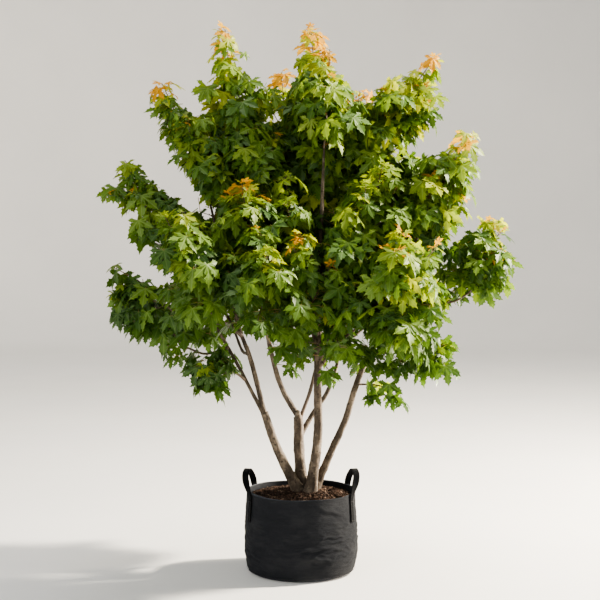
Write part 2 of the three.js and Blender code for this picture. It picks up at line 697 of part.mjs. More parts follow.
// One mass: a shoot with opposite pairs of twigs or leaves, turned from node to node. A twig or
// leaf that would leave the mass's space or touch something is turned and tried again, then left out.
function grow(mass, index) {
  const random = seeded(SEED + index * 97);
  const { curve, spread, from } = mass;
  const [parent, place] = from;
  const foot = place === 1 ? limbs.get(parent).endRadius : TWIG_RADIUS + 1;
  const full = THREE.MathUtils.clamp(spread * LEAF_SHARE, LEAF_LEAST, LEAF_LENGTH);
  const length = curve.getLength();
  const whorls = Math.max(2, Math.round(length / (full * WHORL_SHARE)));
  const nodeShare = NODE_LENGTH / length;
  const nodes = Array.from({ length: whorls }, (_, i) => (i + 0.6) / whorls);
  nodes[whorls - 1] = 1 - nodeShare;
  const station = (share) => ({
    centre: curve.getPoint(share),
    ahead: curve.getTangent(share),
    radius: THREE.MathUtils.lerp(foot, TWIG_RADIUS, share),
  });
  const skin = new Skin();
  const start = station(0);
  const base = skin.addRing(start.centre, start.ahead, new THREE.Vector3(1, 0.3, 0), start.radius);
  skin.addFace(base[2], base[1], base[0]);
  const shoot = skin.addStalk(base, nodes.flatMap((share) => [station(share), station(share + nodeShare)]));
  const taken = [ringsToSolid(tubeRings(curve, () => TWIG_RADIUS, 3, 3))];
  const isClear = (solid) => taken.every((other) => other.intersect(solid).isEmpty());

  function addLeaf({ seats, outward, size, sag }) {
    for (let attempt = 0; attempt < LEAF_TRIES; attempt += 1) {
      const shrink = 1 - (LEAF_TRY_SHRINK * attempt) / LEAF_TRIES;
      const grown = size * shrink * (LEAF_LEAST_SIZE + LEAF_SIZE_SPREAD * random());
      const wish = leafPlace(outward, grown, sag, random);
      const seat = skin.seatToward(seats, wish.along);
      if (!seat) {
        continue;
      }
      const leaf = leafShape({ ...wish, root: skin.middle(seat) });
      if (keepsToSpace(leaf.rim.filter(Boolean), mass) && isClear(leaf.blade) && clearOfLimbs(leaf.whole)) {
        skin.addLeaf(seat, leaf);
        taken.push(leaf.blade);
        return;
      }
    }
  }

  const wishes = [];
  let facing = random() * Math.PI;
  nodes.forEach((share, i) => {
    const ahead = curve.getTangent(share);
    const across = new THREE.Vector3().crossVectors(ahead, UP).normalize();
    const angle = radians(THREE.MathUtils.lerp(TWIG_ANGLE_LOW, TWIG_ANGLE_HIGH, share));
    const size = full * THREE.MathUtils.lerp(1, YOUNG_LEAF, share ** 3);
    const sag = THREE.MathUtils.lerp(LEAF_DROOP_LOW, LEAF_DROOP_TIP, share ** 2);
    const seats = shoot.steps[2 * i + 1];
    facing += Math.PI / 2 + (random() - 0.5) * PAIR_TURN_SPREAD;
    for (const half of [0, Math.PI]) {
      const outward = across.clone().applyAxisAngle(ahead, facing + half);
      const way = ahead.clone().multiplyScalar(Math.cos(angle)).addScaledVector(outward, Math.sin(angle));
      way.addScaledVector(UP, TWIG_RISE).normalize();
      const stretch = TWIG_LEAST_REACH + TWIG_REACH_SPREAD * random();
      const reach = spread * fullness(share) * stretch - size * LEAF_OVERHANG;
      const seat = skin.seatToward(seats, way);
      if (reach < SHORT_TWIG || !seat) {
        wishes.push({ seats, outward, size, sag });
        continue;
      }
      const root = skin.middle(seat);
      const line = new THREE.LineCurve3(root, root.clone().addScaledVector(way, reach));
      const free = new THREE.LineCurve3(line.getPoint(0.1), line.v2);
      const solid = ringsToSolid(tubeRings(free, () => TWIG_RADIUS, 3, 1));
      if (!keepsToSpace([line.getPoint(0.5), line.v2], mass) || !clearOfLimbs(solid) || !isClear(solid)) {
        wishes.push({ seats, outward, size, sag });
        continue;
      }
      skin.faces.delete(seat);
      const pairs = Math.max(1, Math.round(reach / TWIG_PAIR_SPACING));
      const stations = [];
      for (let k = 1; k <= pairs; k += 1) {
        for (const centre of [line.getPoint(k / pairs - NODE_LENGTH / reach), line.getPoint(k / pairs)]) {
          stations.push({ centre, ahead: way, radius: TWIG_RADIUS * (1 - (0.3 * k) / pairs) });
        }
      }
      const twig = skin.addStalk(seat, stations);
      taken.push(solid);
      const aside = new THREE.Vector3().crossVectors(way, UP).normalize();
      for (let k = 0; k < pairs; k += 1) {
        for (const hand of [-1, 1]) {
          const turned = aside.clone().multiplyScalar(hand).addScaledVector(way, SIDE_LEAF_FORWARD);
          wishes.push({ seats: twig.steps[2 * k + 1], outward: turned, size, sag });
        }
      }
      wishes.push({ seats: [twig.end, ...twig.steps.at(-1)], outward: way, size, sag });
    }
  });
  const crownSeats = [shoot.end, ...shoot.steps.at(-1)];
  for (let k = 0; k < CROWN_LEAVES; k += 1) {
    const outward = new THREE.Vector3(1, 0, 0).applyAxisAngle(UP, facing + k * CROWN_LEAF_TURN);
    wishes.push({ seats: crownSeats, outward, size: full * CROWN_LEAF, sag: LEAF_DROOP_CROWN });
  }
  wishes.forEach(addLeaf);
  let solid = skin.solid();
  for (const limb of limbs.values()) {
    solid = solid.subtract(limb.grown);
  }
  return largest(solid);
}

const tree = new THREE.Group();
tree.add(meshOf("pot_bag", bag(), FELT));
tree.add(meshOf("potting_soil", soil(), SOIL));
tree.add(meshOf("handle_left", handle(-1), FELT));
tree.add(meshOf("handle_right", handle(1), FELT));
for (const [name, limb] of limbs) {
  tree.add(meshOf(name, limb.solid, BARK));
}
MASSES.forEach((mass, index) => tree.add(meshOf(mass.name, grow(mass, index), LEAF_GREEN)));

export default tree;
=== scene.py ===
import math

import bpy
import numpy as np
from mathutils import Euler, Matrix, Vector, noise


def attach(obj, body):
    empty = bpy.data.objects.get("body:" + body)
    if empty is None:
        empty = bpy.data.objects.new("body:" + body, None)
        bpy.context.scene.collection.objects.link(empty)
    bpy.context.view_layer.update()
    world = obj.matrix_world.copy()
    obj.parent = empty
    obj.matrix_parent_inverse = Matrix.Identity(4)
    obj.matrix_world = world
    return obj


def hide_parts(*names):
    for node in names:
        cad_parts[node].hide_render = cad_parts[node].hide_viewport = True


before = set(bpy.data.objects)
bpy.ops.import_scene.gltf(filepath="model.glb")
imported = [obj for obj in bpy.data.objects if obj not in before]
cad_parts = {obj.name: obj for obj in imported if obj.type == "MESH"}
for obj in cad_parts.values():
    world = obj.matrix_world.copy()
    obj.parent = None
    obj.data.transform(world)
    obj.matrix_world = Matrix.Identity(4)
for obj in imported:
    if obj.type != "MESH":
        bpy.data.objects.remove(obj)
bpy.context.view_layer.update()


# View and light
# The tree is seen from standing eye height, six metres off. A warm lamp shines from the right and
# a little behind, a narrow one picks out the stems, and a soft one fills from the left front.

EYE = (-0.004, -6.37, 1.64)
LOOK_DOWN = 3.52
CROWN_MIDDLE = (0, 0, 1.4)

view_data = bpy.data.cameras.new("view")
view_data.sensor_width = 36
view_data.lens = 84
view = bpy.data.objects.new("view", view_data)
view.location = EYE
view.rotation_euler = (math.radians(90 - LOOK_DOWN), 0, 0)
bpy.context.collection.objects.link(view)
bpy.context.scene.camera = view


def hang(lamp, place, aim, power, colour):
    """Puts a lamp in its place, turned to the point that it lights"""
    lamp.energy = power
    lamp.color = colour
    hung = bpy.data.objects.new(lamp.name, lamp)
    hung.location = place
    hung.rotation_euler = (Vector(aim) - Vector(place)).to_track_quat("-Z", "Y").to_euler()
    bpy.context.collection.objects.link(hung)


def soft_lamp(name, size):
    """A round lamp with a soft face, its width in metres"""
    lamp = bpy.data.lights.new(name, "AREA")
    lamp.shape = "DISK"
    lamp.size = size
    return lamp


hang(soft_lamp("sun_side_lamp", 0.6), (5.5, 0.9, 5.3), CROWN_MIDDLE, 2080, (1.0, 0.91, 0.76))
hang(soft_lamp("low_side_lamp", 0.5), (4.6, 1.5, 0.9), (0, 0, 0.7), 420, (1.0, 0.88, 0.72))
hang(soft_lamp("front_fill_lamp", 3.5), (-3.2, -5.0, 3.2), CROWN_MIDDLE, 122, (0.96, 0.99, 1.0))
hang(soft_lamp("overhead_lamp", 3.0), (0.4, 0.6, 6.0), CROWN_MIDDLE, 130, (1.0, 0.98, 0.94))

stem_lamp = bpy.data.lights.new("stem_lamp", "SPOT")
stem_lamp.spot_size = math.radians(10.4)
stem_lamp.spot_blend = 0.6
stem_lamp.shadow_soft_size = 0.2
hang(stem_lamp, (4.6, 1.6, 1.35), (0, 0, 0.78), 6800, (1.0, 0.89, 0.74))

world = bpy.data.worlds.new("studio_air")
world.use_nodes = True
air = world.node_tree.nodes["Background"]
air.inputs["Color"].default_value = (0.92, 0.93, 0.93, 1)
air.inputs["Strength"].default_value = 0.46
bpy.context.scene.world = world


# Studio floor
# A round, pale, smooth floor that sweeps up at its edge, so that every side of the tree is seen
# against the same plain ground.

FLOOR_RADIUS = 10.5
FLOOR_SIDES = 96
FLOOR_DROP = 0.0005
SWEEP_RADIUS = 3.0
SWEEP_STEPS = 12
SWEEP_TOP = 7.0


class Nodes:
    """The node tree of one material, with a short way to add a linked node"""

    def __init__(self, name):
        self.material = bpy.data.materials.new(name)
        self.material.use_nodes = True
        self.tree = self.material.node_tree
        self.surface = self.tree.nodes["Principled BSDF"]
        self.output = self.tree.nodes["Material Output"]

    def add(self, kind, settings=None, **inputs):
        node = self.tree.nodes.new(kind)
        for key, value in (settings or {}).items():
            setattr(node, key, value)
        for key, value in inputs.items():
            self.feed(node.inputs[key.replace("_", " ")], value)
        return node

    def feed(self, socket, value):
        if isinstance(value, bpy.types.NodeSocket):
            self.tree.links.new(value, socket)
        else:
            socket.default_value = value

    def set(self, **inputs):
        for key, value in inputs.items():
            self.feed(self.surface.inputs[key.replace("_", " ")], value)

    def math(self, operation, first, second=0.5, third=0.5):
        node = self.add("ShaderNodeMath", {"operation": operation})
        for socket, value in zip(node.inputs, (first, second, third)):
            self.feed(socket, value)
        return node.outputs[0]

    def ramp(self, factor, *stops):
        node = self.add("ShaderNodeValToRGB", Fac=factor)
        elements = node.color_ramp.elements
        while len(elements) < len(stops):
            elements.new(0.5)
        for element, (place, colour) in zip(elements, stops):
            element.position = place
            element.color = (*colour, 1)
        return node.outputs["Color"]

    def noise(self, scale, detail=4, roughness=0.6, stretch=(1, 1, 1)):
        place = self.add("ShaderNodeTexCoord").outputs["Object"]
        spread = self.add("ShaderNodeMapping", Vector=place, Scale=stretch)
        found = self.add("ShaderNodeTexNoise", Vector=spread.outputs[0], Scale=scale)
        found.inputs["Detail"].default_value = detail
        found.inputs["Roughness"].default_value = roughness
        return found.outputs["Fac"]

    def cells(self, scale, stretch=(1, 1, 1)):
        place = self.add("ShaderNodeTexCoord").outputs["Object"]
        spread = self.add("ShaderNodeMapping", Vector=place, Scale=stretch)
        found = self.add("ShaderNodeTexVoronoi", Vector=spread.outputs[0], Scale=scale)
        return found.outputs["Distance"]

    def mix(self, factor, first, second, blend="MIX"):
        node = self.add("ShaderNodeMix", {"data_type": "RGBA", "blend_type": blend})
        sockets = node.inputs[0], node.inputs[6], node.inputs[7]
        for socket, value in zip(sockets, (factor, first, second)):
            self.feed(socket, (*value, 1) if isinstance(value, tuple) else value)
        return node.outputs[2]

    def bump(self, height, strength, distance, under=None):
        node = self.add("ShaderNodeBump", Height=height, Strength=strength, Distance=distance)
        if under:
            self.feed(node.inputs["Normal"], under)
        return node.outputs[0]


def new_mesh(name, points, faces, material, smooth=True):
    """An object from points and faces that all have as many corners"""
    points = np.asarray(points, np.float32)
    faces = np.asarray(faces, np.int32)
    mesh = bpy.data.meshes.new(name)
    mesh.vertices.add(len(points))
    mesh.vertices.foreach_set("co", points.ravel())
    mesh.loops.add(faces.size)
    mesh.loops.foreach_set("vertex_index", faces.ravel())
    mesh.polygons.add(len(faces))
    mesh.polygons.foreach_set("loop_start", np.arange(0, faces.size, faces.shape[1], dtype=np.int32))
    mesh.polygons.foreach_set("use_smooth", np.full(len(faces), smooth))
    mesh.update(calc_edges=True)
    mesh.materials.append(material)
    made = bpy.data.objects.new(name, mesh)
    bpy.context.collection.objects.link(made)
    return made


def grid_faces(rows, columns, first=0):
    """Quads of a grid of points, row after row, each row running round on itself"""
    row, column = np.mgrid[0 : rows - 1, 0:columns]
    low = first + row * columns
    beside = (column + 1) % columns
    quads = np.stack([low + column, low + beside, low + columns + beside, low + columns + column], -1)
    return quads.reshape(-1, 4)


floor_side = [(FLOOR_RADIUS * step / 6, 0.0) for step in range(7)]
for step in range(1, SWEEP_STEPS + 1):
    turn = math.pi / 2 * step / SWEEP_STEPS
    floor_side.append((FLOOR_RADIUS + SWEEP_RADIUS * math.sin(turn), SWEEP_RADIUS * (1 - math.cos(turn))))
floor_side.append((FLOOR_RADIUS + SWEEP_RADIUS, SWEEP_TOP))
floor_points = []
for radius, height in floor_side:
    for k in range(FLOOR_SIDES):
        turn = 2 * math.pi * k / FLOOR_SIDES
        floor_points.append((radius * math.cos(turn), radius * math.sin(turn), height - FLOOR_DROP))
floor_look = Nodes("pale_floor")
floor_tone = floor_look.ramp(floor_look.noise(0.8), (0.3, (0.70, 0.69, 0.67)), (0.7, (0.74, 0.73, 0.71)))
floor_look.set(Base_Color=floor_tone, Roughness=0.9)
floor_look.set(Emission_Color=(0.93, 0.93, 0.92, 1), Emission_Strength=0.10)
floor = new_mesh("floor", floor_points, grid_faces(len(floor_side), FLOOR_SIDES), floor_look.material)


# Grow bag
# One band of charcoal needle-felt and a round base, sewn together inside out and turned. The band
# sags into soft level folds where the mix has settled, and its raw top edge waves a little.

BAG_BASE = 0.250
BAG_BELLY = 0.260
BAG_SHOULDER = 0.258
BAG_RIM = 0.249
BAG_HEIGHT = 0.375
BAG_CORNER = 0.040
FELT_THICK = 0.0045
SEAM_HEIGHT = 0.011
SEAM_STAND = 0.0042
SEAM_SPREAD = 0.0030
SLACK_MIDDLE = 0.17
SLACK_SPREAD = 0.125
CREASE_DEPTH = 1.15
RIM_FROM = 0.30
BAG_SIDES = 288
CORNER_STEPS = 8
BAND_STEPS = 110
LINING_STEPS = 12
LINING_DEPTH = 0.07
# Each crease: the degrees and height of its start, those of its end, its width and its rise
CREASES = (
    (-98, 0.150, -62, 0.158, 0.0060, 0.0055),
    (-84, 0.118, -58, 0.100, 0.0110, 0.0060),
    (-66, 0.140, -34, 0.150, 0.0055, 0.0036),
    (-60, 0.176, -28, 0.182, 0.0050, 0.0034),
    (-72, 0.205, -40, 0.198, 0.0050, 0.0030),
    (-58, 0.238, -24, 0.246, 0.0055, 0.0030),
    (-76, 0.342, -44, 0.300, 0.0110, 0.0036),
    (-52, 0.108, -22, 0.116, 0.0060, 0.0034),
    (-44, 0.076, -12, 0.090, 0.0060, 0.0030),
    (-124, 0.146, -92, 0.140, 0.0070, 0.0028),
    (-170, 0.112, -130, 0.100, 0.0080, 0.0028),
    (-150, 0.196, -108, 0.206, 0.0070, 0.0022),
    (-10, 0.150, 24, 0.158, 0.0060, 0.0034),
    (4, 0.214, 40, 0.206, 0.0055, 0.0028),
    (28, 0.100, 64, 0.118, 0.0080, 0.0034),
    (48, 0.170, 92, 0.178, 0.0060, 0.0030),
    (84, 0.118, 130, 0.132, 0.0080, 0.0034),
    (120, 0.214, 166, 0.206, 0.0070, 0.0028),
)


def bag_radius(height):
    """The felt's radius before it sags"""
    heights = (BAG_CORNER, 0.094, 0.225, BAG_HEIGHT)
    return np.interp(height, heights, (BAG_BASE, BAG_BELLY, BAG_SHOULDER, BAG_RIM))


def felt_folds(turn, height):
    """How far the slack felt stands in or out at a place on the band"""
    x, y = math.cos(turn), math.sin(turn)
    sag = 0.0040 * noise.noise(Vector((x * 1.6, y * 1.6, height * 6 + 4)))
    drift = noise.noise(Vector((x * 3, y * 3, height * 8)))
    level = noise.noise(Vector((x * 3.2 + 7, y * 3.2, height * 36 + 1.4 * drift)))
    fine = noise.noise(Vector((x * 7, y * 7 + 3, height * 80 + 2.2 * drift)))
    slack = math.exp(-(((height - SLACK_MIDDLE) / SLACK_SPREAD) ** 2))
    stand = sag + slack * (0.0030 * max(0, 1 - 2.8 * abs(level)) ** 1.5 + 0.0013 * fine)
    degrees = (math.degrees(turn) + 180) % 360 - 180
    for start, low, end, high, wide, rise in CREASES:
        along = (degrees - start) / (end - start)
        if 0 < along < 1:
            middle = low + (high - low) * along + 0.003 * math.sin(14 * along + start)
            across = (height - middle) / wide
            fold = math.exp(-across * across) - 0.7 * math.exp(-((across + 1.7) ** 2))
            stand += CREASE_DEPTH * rise * math.sin(math.pi * along) ** 0.9 * fold
    return stand


bag_rows = [(0.0, 0.0, 0.0), (0.12, 0.0, 0.0), (BAG_BASE - BAG_CORNER, 0.0, 0.0)]
for step in range(1, CORNER_STEPS + 1):
    turn = math.pi / 2 * step / CORNER_STEPS
    radius = BAG_BASE - BAG_CORNER * (1 - math.sin(turn))
    height = BAG_CORNER * (1 - math.cos(turn))
    bag_rows.append((radius, height, 0.3 * step / CORNER_STEPS))
for step in range(1, BAND_STEPS + 1):
    height = BAG_CORNER + (BAG_HEIGHT - BAG_CORNER) * step / BAND_STEPS
    bag_rows.append((float(bag_radius(height)), height, 1.0))
bag_rows.append((BAG_RIM - FELT_THICK * 0.3, BAG_HEIGHT + 0.0012, 1.0))
bag_rows.append((BAG_RIM - FELT_THICK * 0.8, BAG_HEIGHT + 0.0010, 1.0))
for step in range(LINING_STEPS + 1):
    height = BAG_HEIGHT - LINING_DEPTH * step / LINING_STEPS
    bag_rows.append((float(bag_radius(height)) - FELT_THICK, height, 1.0))
bag_points = []
for radius, height, loose in bag_rows:
    seam = 0.0
    if 0 < height < 0.03:
        seam = SEAM_STAND * math.exp(-(((height - SEAM_HEIGHT) / SEAM_SPREAD) ** 2))
    near_rim = max(0.0, (height - RIM_FROM) / (BAG_HEIGHT - RIM_FROM))
    for k in range(BAG_SIDES):
        turn = 2 * math.pi * k / BAG_SIDES
        stand = felt_folds(turn, height) * loose if loose else 0.0
        wave = near_rim * (0.0028 * math.sin(2 * turn + 0.6) + 0.0016 * math.sin(5 * turn + 2.0))
        reach = radius + stand + seam + near_rim * 0.002 * math.sin(3 * turn + 1.0)
        bag_points.append((reach * math.cos(turn), reach * math.sin(turn), max(0.0, height + wave)))

felt = Nodes("charcoal_felt")
felt_fibre = felt.noise(520, detail=6, roughness=0.75)
felt_mat = felt.noise(150, detail=6, roughness=0.7)
felt_dust = felt.noise(7, detail=6, roughness=0.65, stretch=(1, 1, 2.2))
felt_tone = felt.math("MULTIPLY_ADD", felt_mat, 1.6, -0.45)
felt_tone = felt.mix(felt_tone, (0.0023, 0.0027, 0.0037), (0.0066, 0.0074, 0.0096))
felt_tone = felt.mix(felt_fibre, felt_tone, (0.0205, 0.0226, 0.0278))
felt_dusty = felt.ramp(felt_dust, (0.46, (0.0, 0.0, 0.0)), (0.80, (0.014, 0.014, 0.014)))
felt_place = felt.add("ShaderNodeTexCoord").outputs["Object"]
felt_side = felt.add("ShaderNodeSeparateXYZ", Vector=felt_place)
# Painted side shade: the felt's colour is scaled lighter towards the left of the bag and darker towards the
# right.
felt_shade_and_pale_lines = felt.math("MULTIPLY_ADD", felt_side.outputs["X"], -0.5, 0.95)
felt_height = felt_side.outputs["Z"]
# Paler along the raw rim, and along the base seam a thin painted highlight where the seam ridge meets the
# light; both are broken up by noise and added to the painted side shade.
rim_pale = felt.add("ShaderNodeMapRange", Value=felt_height)
rim_pale.inputs["From Min"].default_value = BAG_HEIGHT - 0.004
rim_pale.inputs["From Max"].default_value = BAG_HEIGHT + 0.001
seam_highlight = felt.math("ABSOLUTE", felt.math("SUBTRACT", felt_height, SEAM_HEIGHT))
seam_highlight = felt.math("SUBTRACT", 1.0, felt.math("MULTIPLY", seam_highlight, 330))
rim_pale_and_seam_highlight = felt.math("MAXIMUM", rim_pale.outputs[0], felt.math("MAXIMUM", seam_highlight, 0.0))
rim_pale_and_seam_highlight = felt.math("MULTIPLY", rim_pale_and_seam_highlight, felt.noise(60, detail=4))
felt_shade_and_pale_lines = felt.math("ADD", felt_shade_and_pale_lines, felt.math("MULTIPLY", rim_pale_and_seam_highlight, 5.0))
felt_crumple = felt.noise(16, detail=5, roughness=0.6, stretch=(1, 1, 4.5))
felt_relief = felt.bump(felt_mat, 0.6, 0.0014, felt.bump(felt_fibre, 0.7, 0.0006))
felt_relief = felt.bump(felt_crumple, 0.7, 0.0080, felt_relief)
felt_tone = felt.mix(1.0, felt_tone, felt_dusty, "ADD")
# The felt's colour scaled by the painted side shade, the pale rim and the painted seam highlight.
felt_shaded_tone = felt.add("ShaderNodeVectorMath", {"operation": "SCALE"}, Scale=felt_shade_and_pale_lines)
felt.feed(felt_shaded_tone.inputs[0], felt_tone)
felt.set(Base_Color=felt_shaded_tone.outputs[0], Roughness=0.96, Specular_IOR_Level=0.15, Normal=felt_relief)
felt.set(Sheen_Weight=0.05, Sheen_Roughness=0.6, Sheen_Tint=(0.30, 0.31, 0.33, 1))
bag = new_mesh("felt_bag", bag_points, grid_faces(len(bag_rows), BAG_SIDES), felt.material)
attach(bag, "root")
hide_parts("pot_bag")


# Strap handles
# Flat woven webbing, 30 mm wide. Each strap's two legs are sewn to the felt with a stitched box,
# and the free loop between them twists so that its top lies flat for the hand.

STRAP_WIDTH = 0.030
STRAP_THICK = 0.0038
FRONT_TURN = math.radians(25.5)
BACK_TURN = math.radians(31.5)
LEG_LOW = 0.250
LEG_TOP = 0.345
LOOP_TOP = 0.466
LEG_STEPS = 14
LOOP_STEPS = 30
FRONT_BULGE = 0.014
BACK_BULGE = 0.004
LOOP_LEAN = 0.006
STRAP_STAND = 0.0030
STRAP_EDGE = 0.0010
THREAD_THICK = 0.0009
STITCH_PITCH = 0.0055
BOX_INSET = 0.003
SEAM_STITCHES = 230


def strap_ring():
    """Cross-section of a strap, across its width and its thickness, with its edges eased"""
    half, deep = STRAP_WIDTH / 2, STRAP_THICK / 2
    across = np.linspace(-half + STRAP_EDGE, half - STRAP_EDGE, 6)
    flank = deep - STRAP_EDGE
    back = [(place, -deep) for place in across]
    face = [(place, deep) for place in across[::-1]]
    return [*back, (half, -flank), (half, flank), *face, (-half, flank), (-half, -flank)]


def strap_stations(side):
    """Places along one strap: its middle, the way across it and the way out of its face"""
    leg = []
    for k in range(LEG_STEPS + 1):
        height = LEG_LOW + (LEG_TOP - LEG_LOW) * k / LEG_STEPS
        leg.append((float(bag_radius(height)) + STRAP_STAND, height))
    found = [(1, out, FRONT_TURN, height, 0.0) for out, height in leg]
    foot = leg[-1][0]
    half = []
    for k in range(1, LOOP_STEPS // 2 + 1):
        sweep = math.pi / 2 * k / (LOOP_STEPS // 2)
        rise = LEG_TOP + (LOOP_TOP - LEG_TOP) * math.sin(sweep)
        half.append((sweep, rise, math.cos(sweep) ** 0.8))
    top_turn = (FRONT_TURN - BACK_TURN) / 2
    for sweep, rise, share in half:
        turn = top_turn + (FRONT_TURN - top_turn) * share
        out = foot - LOOP_LEAN * math.sin(sweep) + FRONT_BULGE * max(0, math.sin(2 * sweep)) ** 1.5
        found.append((1, out, turn, rise, math.sin(sweep) ** 1.4))
    for sweep, rise, share in reversed(half[:-1]):
        turn = -top_turn + (BACK_TURN + top_turn) * share
        out = foot - LOOP_LEAN * math.sin(sweep) + BACK_BULGE * math.sin(2 * sweep) ** 1.5
        found.append((-1, out, -turn, rise, math.sin(sweep) ** 0.8))
    found += [(-1, out, -BACK_TURN, height, 0.0) for out, height in reversed(leg)]
    middles = []
    for _, out, turn, height, _ in found:
        middles.append(Vector((side * out * math.cos(turn), -out * math.sin(turn), height)))
    stations = []
    for k, (hand, out, turn, height, twist) in enumerate(found):
        ahead = (middles[min(k + 1, len(found) - 1)] - middles[max(k - 1, 0)]).normalized()
        outward = Vector((side * math.cos(turn), -math.sin(turn), 0))
        onward = Vector((side * math.sin(turn), math.cos(turn), 0))
        flat = onward * (hand * (1 - twist)) + outward * twist
        flat = (flat - ahead * flat.dot(ahead)).normalized()
        stations.append((middles[k], flat, ahead.cross(flat)))
    return stations


webbing = Nodes("woven_webbing")
webbing_place = webbing.add("ShaderNodeUVMap", {"uv_map": "strap"}).outputs[0]
webbing_split = webbing.add("ShaderNodeSeparateXYZ", Vector=webbing_place)
rib_long = webbing.math("SINE", webbing.math("MULTIPLY", webbing_split.outputs[0], 3600))
rib_wide = webbing.math("SINE", webbing.math("MULTIPLY", webbing_split.outputs[1], 2600))
webbing_weave = webbing.math("MULTIPLY", rib_long, rib_wide)
webbing_lint = webbing.noise(300, detail=5, roughness=0.7)
webbing_tone = webbing.mix(webbing_lint, (0.0014, 0.0015, 0.0019), (0.0085, 0.0089, 0.0104))
webbing.set(Base_Color=webbing_tone, Roughness=0.95, Sheen_Weight=0.02, Sheen_Roughness=0.5)
webbing.set(Normal=webbing.bump(webbing_weave, 0.6, 0.0005), Specular_IOR_Level=0.05)

thread = Nodes("sewing_thread")
thread.set(Base_Color=thread.mix(thread.noise(900), (0.020, 0.021, 0.023), (0.055, 0.056, 0.060)))
thread.set(Roughness=0.6, Normal=thread.bump(thread.noise(2500), 0.4, 0.0003))


def uv_map(made, name, places):
    """Gives a mesh a flat map from one place for each of its points"""
    mesh = made.data
    corners = np.empty(len(mesh.loops), np.int32)
    mesh.loops.foreach_get("vertex_index", corners)
    layer = mesh.uv_layers.new(name=name)
    layer.uv.foreach_set("vector", np.asarray(places, np.float32)[corners].ravel())


def add_stitch(points, faces, start, end, out):
    """One stitch: a short thread that dips into the cloth at both ends"""
    along = end - start
    aside = along.cross(out).normalized() * THREAD_THICK / 2
    first = len(points)
    for share, lift in ((0.0, -0.3), (0.25, 0.7), (0.75, 0.7), (1.0, -0.3)):
        middle = start + along * share + out * (THREAD_THICK * lift)
        for turn in range(4):
            angle = math.pi / 2 * turn
            points.append(middle + aside * math.cos(angle) + out * (THREAD_THICK / 2 * math.sin(angle)))
    faces.extend(grid_faces(4, 4, first=first).tolist())


stitch_points, stitch_faces = [], []
for side, name in ((-1, "handle_left"), (1, "handle_right")):
    stations = strap_stations(side)
    ring = strap_ring()
    strap_points, strap_places = [], []
    run = 0.0
    for k, (middle, flat, face) in enumerate(stations):
        run += (middle - stations[k - 1][0]).length if k else 0.0
        for across, deep in ring:
            strap_points.append(middle + flat * across + face * deep)
            strap_places.append((run, across + deep))
    quads = grid_faces(len(stations), len(ring)).tolist()
    columns = len(ring)
    last = (len(stations) - 1) * columns
    for k in range(1, columns // 2):
        quads.append([k - 1, columns - k, columns - k - 1, k])
        quads.append([last + k, last + columns - k - 1, last + columns - k, last + k - 1])
    strap = new_mesh(name + "_webbing", strap_points, quads, webbing.material)
    uv_map(strap, "strap", strap_places)
    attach(strap, "root")
    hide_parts(name)
    for leg in (stations[: LEG_STEPS + 1], stations[: -LEG_STEPS - 2 : -1]):
        low, flat, _ = leg[0]
        high = leg[-1][0]
        out = Vector((low.x, low.y, 0)).normalized()
        edge = flat * (STRAP_WIDTH / 2 - BOX_INSET)
        foot, head = low + (high - low) * 0.05, low + (high - low) * 0.97
        corners = (foot - edge, foot + edge, head + edge, head - edge)
        lines = [(corners[k], corners[(k + 1) % 4]) for k in range(4)]
        lines += [(corners[0], corners[2]), (corners[1], corners[3])]
        for start, end in lines:
            count = max(2, round((end - start).length / STITCH_PITCH))
            for k in range(count):
                one = start + (end - start) * ((k + 0.12) / count)
                two = start + (end - start) * ((k + 0.88) / count)
                lift = out * (STRAP_THICK / 2 + 0.0001)
                add_stitch(stitch_points, stitch_faces, one + lift, two + lift, out)
for k in range(SEAM_STITCHES):
    ends = []
    for share in (0.15, 0.85):
        turn = 2 * math.pi * (k + share) / SEAM_STITCHES
        reach = BAG_BASE - BAG_CORNER * 0.30 + 0.0105 + felt_folds(turn, 0.02) * 0.1
        ends.append(Vector((reach * math.cos(turn), reach * math.sin(turn), 0.0185)))
    out = Vector((ends[0].x, ends[0].y, -0.10)).normalized()
    add_stitch(stitch_points, stitch_faces, ends[0], ends[1], out)
stitching = new_mesh("stitching", stitch_points, stitch_faces, thread.material)
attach(stitching, "root")


# Potting mix
# Shredded pine bark and compost, filled to two fingers below the rim and heaped a little round
# the stems. Loose chips of several browns lie over the finer mix.

MIX_EDGE = 0.345
MIX_TOP = 0.366
MIX_TOP_RADIUS = 0.095
MIX_RADIUS = 0.2425
MIX_SIDES = 120
MIX_ROWS = 46
CHIP_COUNT = 3000
CHIP_SHARES = (0.54, 0.38, 0.08)
CHIP_SMALLEST = (0.0035, 0.0020, 0.0010)
CHIP_LARGEST = (0.0095, 0.0052, 0.0026)


def mix_height(radius):
    """How high the mix lies, heaped round the stems"""
    return float(np.interp(radius, (0, MIX_TOP_RADIUS, MIX_RADIUS), (MIX_TOP, MIX_TOP, MIX_EDGE)))


mix_points = []
for row in range(MIX_ROWS):
    radius = MIX_RADIUS * row / (MIX_ROWS - 1)
    for k in range(MIX_SIDES):
        turn = 2 * math.pi * k / MIX_SIDES
        x, y = radius * math.cos(turn), radius * math.sin(turn)
        rough = 0.004 * noise.noise(Vector((x * 60, y * 60, 0)))
        rough += 0.003 * noise.noise(Vector((x * 18, y * 18, 5)))
        mix_points.append((x, y, mix_height(radius) - 0.002 + rough))


def earth_look(name, dark, light, scale):
    look = Nodes(name)
    grain = look.noise(scale, detail=7, roughness=0.7)
    look.set(Base_Color=look.ramp(grain, (0.30, dark), (0.72, light)), Roughness=0.93)
    look.set(Normal=look.bump(look.noise(scale * 2.5, detail=6), 0.8, 0.0012), Specular_IOR_Level=0.2)
    return look.material


mix_look = earth_look("fine_mix", (0.009, 0.0058, 0.0042), (0.052, 0.031, 0.020), 160)
mix = new_mesh("potting_mix", mix_points, grid_faces(MIX_ROWS, MIX_SIDES), mix_look)
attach(mix, "root")
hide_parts("potting_soil")

